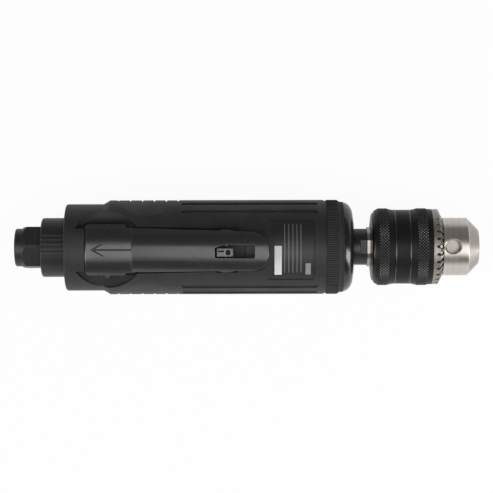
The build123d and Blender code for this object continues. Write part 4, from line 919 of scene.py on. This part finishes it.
def side_grip(node, side):
    """The oval pad, crowned as the body is, with notches that leave a row of bars."""
    long = GRIP_HIGH[0] - GRIP_LOW[0]
    high = GRIP_HIGH[2] - GRIP_LOW[2]
    pick_none()
    bpy.ops.mesh.primitive_cylinder_add(vertices=GRIP_FACETS, radius=0.5, depth=GRIP_RADIUS,
                                        location=((GRIP_LOW[0] + GRIP_HIGH[0]) / 2, side * GRIP_RADIUS, 0),
                                        rotation=(math.pi / 2, 0, 0), scale=(long, high, 1.0))
    grip = named("barred_" + node)
    ends = (GRIP_LOW[0] - long, GRIP_HIGH[0] + long)
    join_with(grip, round_bar("crown", GRIP_RADIUS, *ends, GRIP_CROWN_FACETS), "INTERSECT")
    join_with(grip, round_bar("core", GRIP_RADIUS - GRIP_THICKNESS, *ends, GRIP_CROWN_FACETS), "DIFFERENCE")
    root = GRIP_RADIUS - NOTCH_DEPTH / 2
    for i in range(NOTCH_COUNT):
        x = GRIP_LOW[0] + NOTCH_START + i * NOTCH_PITCH
        notch = block("notch", (x, side * GRIP_RADIUS, 0), (NOTCH_WIDTH, 2 * NOTCH_DEPTH, 2 * NOTCH_REACH))
        choose(notch, "FACE", lambda at: abs(at.y) < root)
        bpy.ops.transform.resize(value=NOTCH_ROOT_SHARE)
        object_mode()
        join_with(grip, notch, "DIFFERENCE")
    tidy_normals(grip)
    smooth(grip)
    dress(grip, "housing", finishes["grip_rubber"])
    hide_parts(node)


def label_sheet():
    """Curved foil with round corners on the floor of the housing's recess."""
    label = round_bar("label_sheet", LABEL_RADIUS, LABEL_START, LABEL_END, FACETS, ends="NOTHING")
    for side in (1, -1):
        choose(label, "VERT", anywhere)
        bpy.ops.mesh.bisect(plane_co=(0, side * LABEL_HALF_WIDTH, 0), plane_no=(0, side, 0), clear_outer=True)
    choose(label, "VERT", lambda at: at.z < 0)
    bpy.ops.mesh.delete(type="VERT")
    object_mode()
    edge = LABEL_HALF_WIDTH - NEAR
    choose(label, "VERT", lambda at: abs(at.y) > edge)
    bpy.ops.mesh.bevel(offset=LABEL_CORNER, segments=LABEL_CORNER_STEPS, affect="VERTICES")
    object_mode()
    tidy_normals(label)
    thicken(label, LABEL_THICKNESS, 1.0)
    smooth(label)
    dress(label, "housing", label_finish)


def arrow_groove(start, end):
    """A four-sided bar between two points on the hub's top line, whose lower edge cuts a V."""
    height = HUB_REAR_HEIGHT - LEVER_REAR * math.tan(HUB_SLOPE)
    ends = [Vector((x, y, height + x * math.tan(HUB_SLOPE))) for x, y in (start, end)]
    along = ends[1] - ends[0]
    pick_none()
    bpy.ops.mesh.primitive_cylinder_add(vertices=4, radius=1.0, depth=along.length + ARROW_WIDTH,
                                        location=(ends[0] + ends[1]) / 2,
                                        rotation=along.to_track_quat("Z", "X").to_euler(),
                                        scale=(ARROW_DEPTH, ARROW_WIDTH / 2, 1.0))
    return named("arrow_groove")


def crease_groove():
    """A thin ring that follows the lever's crown across the crease."""
    pick_none()
    bpy.ops.mesh.primitive_torus_add(major_radius=CREASE_CROWN, minor_radius=CREASE_DEPTH,
                                     major_segments=FACETS, minor_segments=CREASE_SIDES,
                                     location=(CREASE, 0, CREASE_HEIGHT - CREASE_CROWN),
                                     rotation=(0, math.pi / 2, 0))
    return named("crease_groove")


def close_lock_bore(lever):
    """Takes out the wall of the lock pin's bore and closes its mouths, so that the ears are whole outside."""
    def on_bore(at):
        away = math.hypot(at.x - LOCK_X, at.z - LOCK_HEIGHT)
        return abs(away - LOCK_PIN_RADIUS) < LOCK_BORE_ROOM

    choose(lever, "FACE", on_bore)
    bpy.ops.mesh.delete(type="FACE")
    bpy.ops.mesh.select_all(action="SELECT")
    bpy.ops.mesh.fill_holes(sides=0)
    object_mode()
    tidy_normals(lever)


def trim_ears(lever):
    """Cuts the lock pin's bosses flush with the paddle's crown."""
    above = block("above_ears", (LOCK_X, 0, PADDLE_TOP_AT_LOCK), (EAR_LENGTH, 2 * EAR_REACH, EAR_REACH))
    crown_x = LOCK_X + PADDLE_CROWN * math.sin(PADDLE_RISE)
    crown_z = PADDLE_TOP_AT_LOCK - PADDLE_CROWN * math.cos(PADDLE_RISE) + CROWN_PROUD
    pick_none()
    bpy.ops.mesh.primitive_cylinder_add(vertices=CROWN_FACETS, radius=PADDLE_CROWN, depth=4 * EAR_REACH,
                                        location=(crown_x, 0, crown_z),
                                        rotation=(0, math.pi / 2 - PADDLE_RISE, 0))
    join_with(above, named("crown"), "DIFFERENCE")
    join_with(lever, above, "DIFFERENCE")


def engraved_lever():
    """The lever with whole ears, a rounded rear rim, the crease line and the arrow on its hub."""
    def on_rear_rim(at):
        crown = HUB_REAR_HEIGHT - HUB_CROWN + math.sqrt(max(HUB_CROWN ** 2 - at.y ** 2, 0))
        return at.x < LEVER_REAR + REAR_RIM_ROOM_X and abs(at.z - crown) < REAR_RIM_ROOM_Z

    lever = welded_copy("throttle_lever", "engraved_lever")
    close_lock_bore(lever)
    trim_ears(lever)
    choose(lever, "EDGE", on_rear_rim)
    bpy.ops.mesh.bevel(offset=REAR_RIM_ROUND, segments=2, clamp_overlap=True)
    object_mode()
    join_with(lever, crease_groove(), "DIFFERENCE")
    tip = (ARROW_TIP, ARROW_ASIDE)
    barb = ARROW_TIP + ARROW_BARB
    ends = ((ARROW_END, ARROW_ASIDE), (barb, ARROW_ASIDE + ARROW_BARB_SPREAD),
            (barb, ARROW_ASIDE - ARROW_BARB_SPREAD))
    for end in ends:
        join_with(lever, arrow_groove(tip, end), "DIFFERENCE")
    tidy_normals(lever, LEVER_WELD)
    smooth(lever, LEVER_SMOOTH_ANGLE)
    dress(lever, "lever", finishes["lever_plastic"])
    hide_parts("throttle_lever")


def inlet_thread():
    """Thread turns in the air inlet, swept from one three-sided tooth."""
    pick_none()
    bpy.ops.mesh.primitive_circle_add(vertices=3, radius=THREAD_PITCH / 2,
                                      location=(THREAD_START, 0, THREAD_BORE), rotation=(math.pi / 2, 0, 0))
    thread = named("inlet_thread")
    crest = min(thread.data.vertices, key=lambda corner: corner.co.z).co.z
    choose(thread, "VERT", lambda at: at.z < crest + NEAR)
    bpy.ops.transform.translate(value=(0, 0, THREAD_BORE - THREAD_HEIGHT - crest))
    object_mode()
    screw = thread.modifiers.new("turns", "SCREW")
    screw.axis = "X"
    screw.screw_offset = THREAD_PITCH
    screw.iterations = THREAD_TURNS
    screw.steps = THREAD_STEPS
    screw.render_steps = THREAD_STEPS
    apply(thread, screw)
    choose(thread, "VERT", anywhere)
    bpy.ops.mesh.fill_holes(sides=3)
    object_mode()
    tidy_normals(thread)
    smooth(thread)
    dress(thread, "housing", finishes["black_steel"])


cap_ribs()
knurl_band("sleeve_knurl_rear", *REAR_KNURL)
knurl_band("sleeve_knurl_front", *FRONT_KNURL)
for number, station in enumerate(BEADS, 1):
    waist_bead(f"sleeve_bead_{number}", station)
for hand, side in (("left", 1), ("right", -1)):
    side_grip("grip_" + hand, side)
label_sheet()
engraved_lever()
inlet_thread()


# Floor, light and camera

def make_floor():
    """A pale floor that is white to the camera, darker in the tool's reflections and darker still on the far
    side as a painted shadow, and clear from below.
    """
    pick_none()
    bpy.ops.mesh.primitive_plane_add(size=FLOOR_SIZE, location=(TOOL_MIDDLE, 0, FLOOR_HEIGHT))
    floor = named("floor")
    finish, tree, shader = start_finish("floor_finish")
    shader.inputs["Base Color"].default_value = FLOOR_GREY
    shader.inputs["Roughness"].default_value = FLOOR_ROUGHNESS
    path = add(tree, "LightPath")
    mirrored = reckon(tree, "MAXIMUM", path.outputs["Is Glossy Ray"], path.outputs["Is Transmission Ray"])
    # Reflections see the floor darker on the far side of the tool: a painted shadow
    painted_shadow = span(tree, split_place(tree)["Y"], *PAINTED_SHADOW_SPAN, *FLOOR_MIRRORED_LIT_AND_SHADED)
    mirrored = reckon(tree, "MULTIPLY", mirrored, painted_shadow)
    seen = reckon(tree, "MULTIPLY", path.outputs["Is Camera Ray"], FLOOR_SEEN)
    above = add(tree, "MixShader")
    feed(tree, above.inputs[0], reckon(tree, "MAXIMUM", seen, mirrored))
    feed(tree, above.inputs[1], shader.outputs[0])
    feed(tree, above.inputs[2], add(tree, "Emission").outputs[0])
    below = add(tree, "MixShader")
    feed(tree, below.inputs[0], add(tree, "NewGeometry").outputs["Backfacing"])
    feed(tree, below.inputs[1], above.outputs[0])
    feed(tree, below.inputs[2], add(tree, "BsdfTransparent").outputs[0])
    feed(tree, tree.nodes["Material Output"].inputs["Surface"], below.outputs[0])
    floor.data.materials.append(finish)


def make_sky():
    """White to the camera, and a faint even light on the tool."""
    world = bpy.data.worlds.new("studio")
    bpy.context.scene.world = world
    world.use_nodes = True
    tree = world.node_tree
    sky = tree.nodes["Background"]
    sky.inputs["Color"].default_value = SKY_WHITE
    seen = add(tree, "LightPath").outputs["Is Camera Ray"]
    feed(tree, sky.inputs["Strength"], reckon(tree, "MAXIMUM", seen, SKY_LIGHT))


def softbox(name, place, aim, wide, deep, brightness):
    """A flat lamp that looks as bright as the number says, whatever its size."""
    light = bpy.data.lights.new(name, "AREA")
    light.shape = "RECTANGLE"
    light.size = wide
    light.size_y = deep
    light.energy = brightness * math.pi * wide * deep
    lamp = bpy.data.objects.new(name, light)
    bpy.context.scene.collection.objects.link(lamp)
    lamp.location = (TOOL_MIDDLE + place[0], place[1], place[2])
    lamp.rotation_euler = (Vector(aim) - Vector(place)).to_track_quat("-Z", "Y").to_euler()


def photo_camera():
    view = bpy.data.cameras.new("photo_view")
    view.lens = VIEW_LENS
    view.sensor_width = VIEW_SENSOR
    camera = bpy.data.objects.new("photo_view", view)
    bpy.context.scene.collection.objects.link(camera)
    camera.location = (TOOL_MIDDLE, VIEW_RISE + VIEW_DISTANCE * math.sin(VIEW_TILT),
                       VIEW_DISTANCE * math.cos(VIEW_TILT))
    camera.rotation_euler = (-VIEW_TILT, 0, VIEW_ROLL)
    bpy.context.scene.camera = camera


make_floor()
make_sky()
for lamp in LAMPS:
    softbox(*lamp)
photo_camera()
bpy.context.scene.view_settings.view_transform = "Standard"
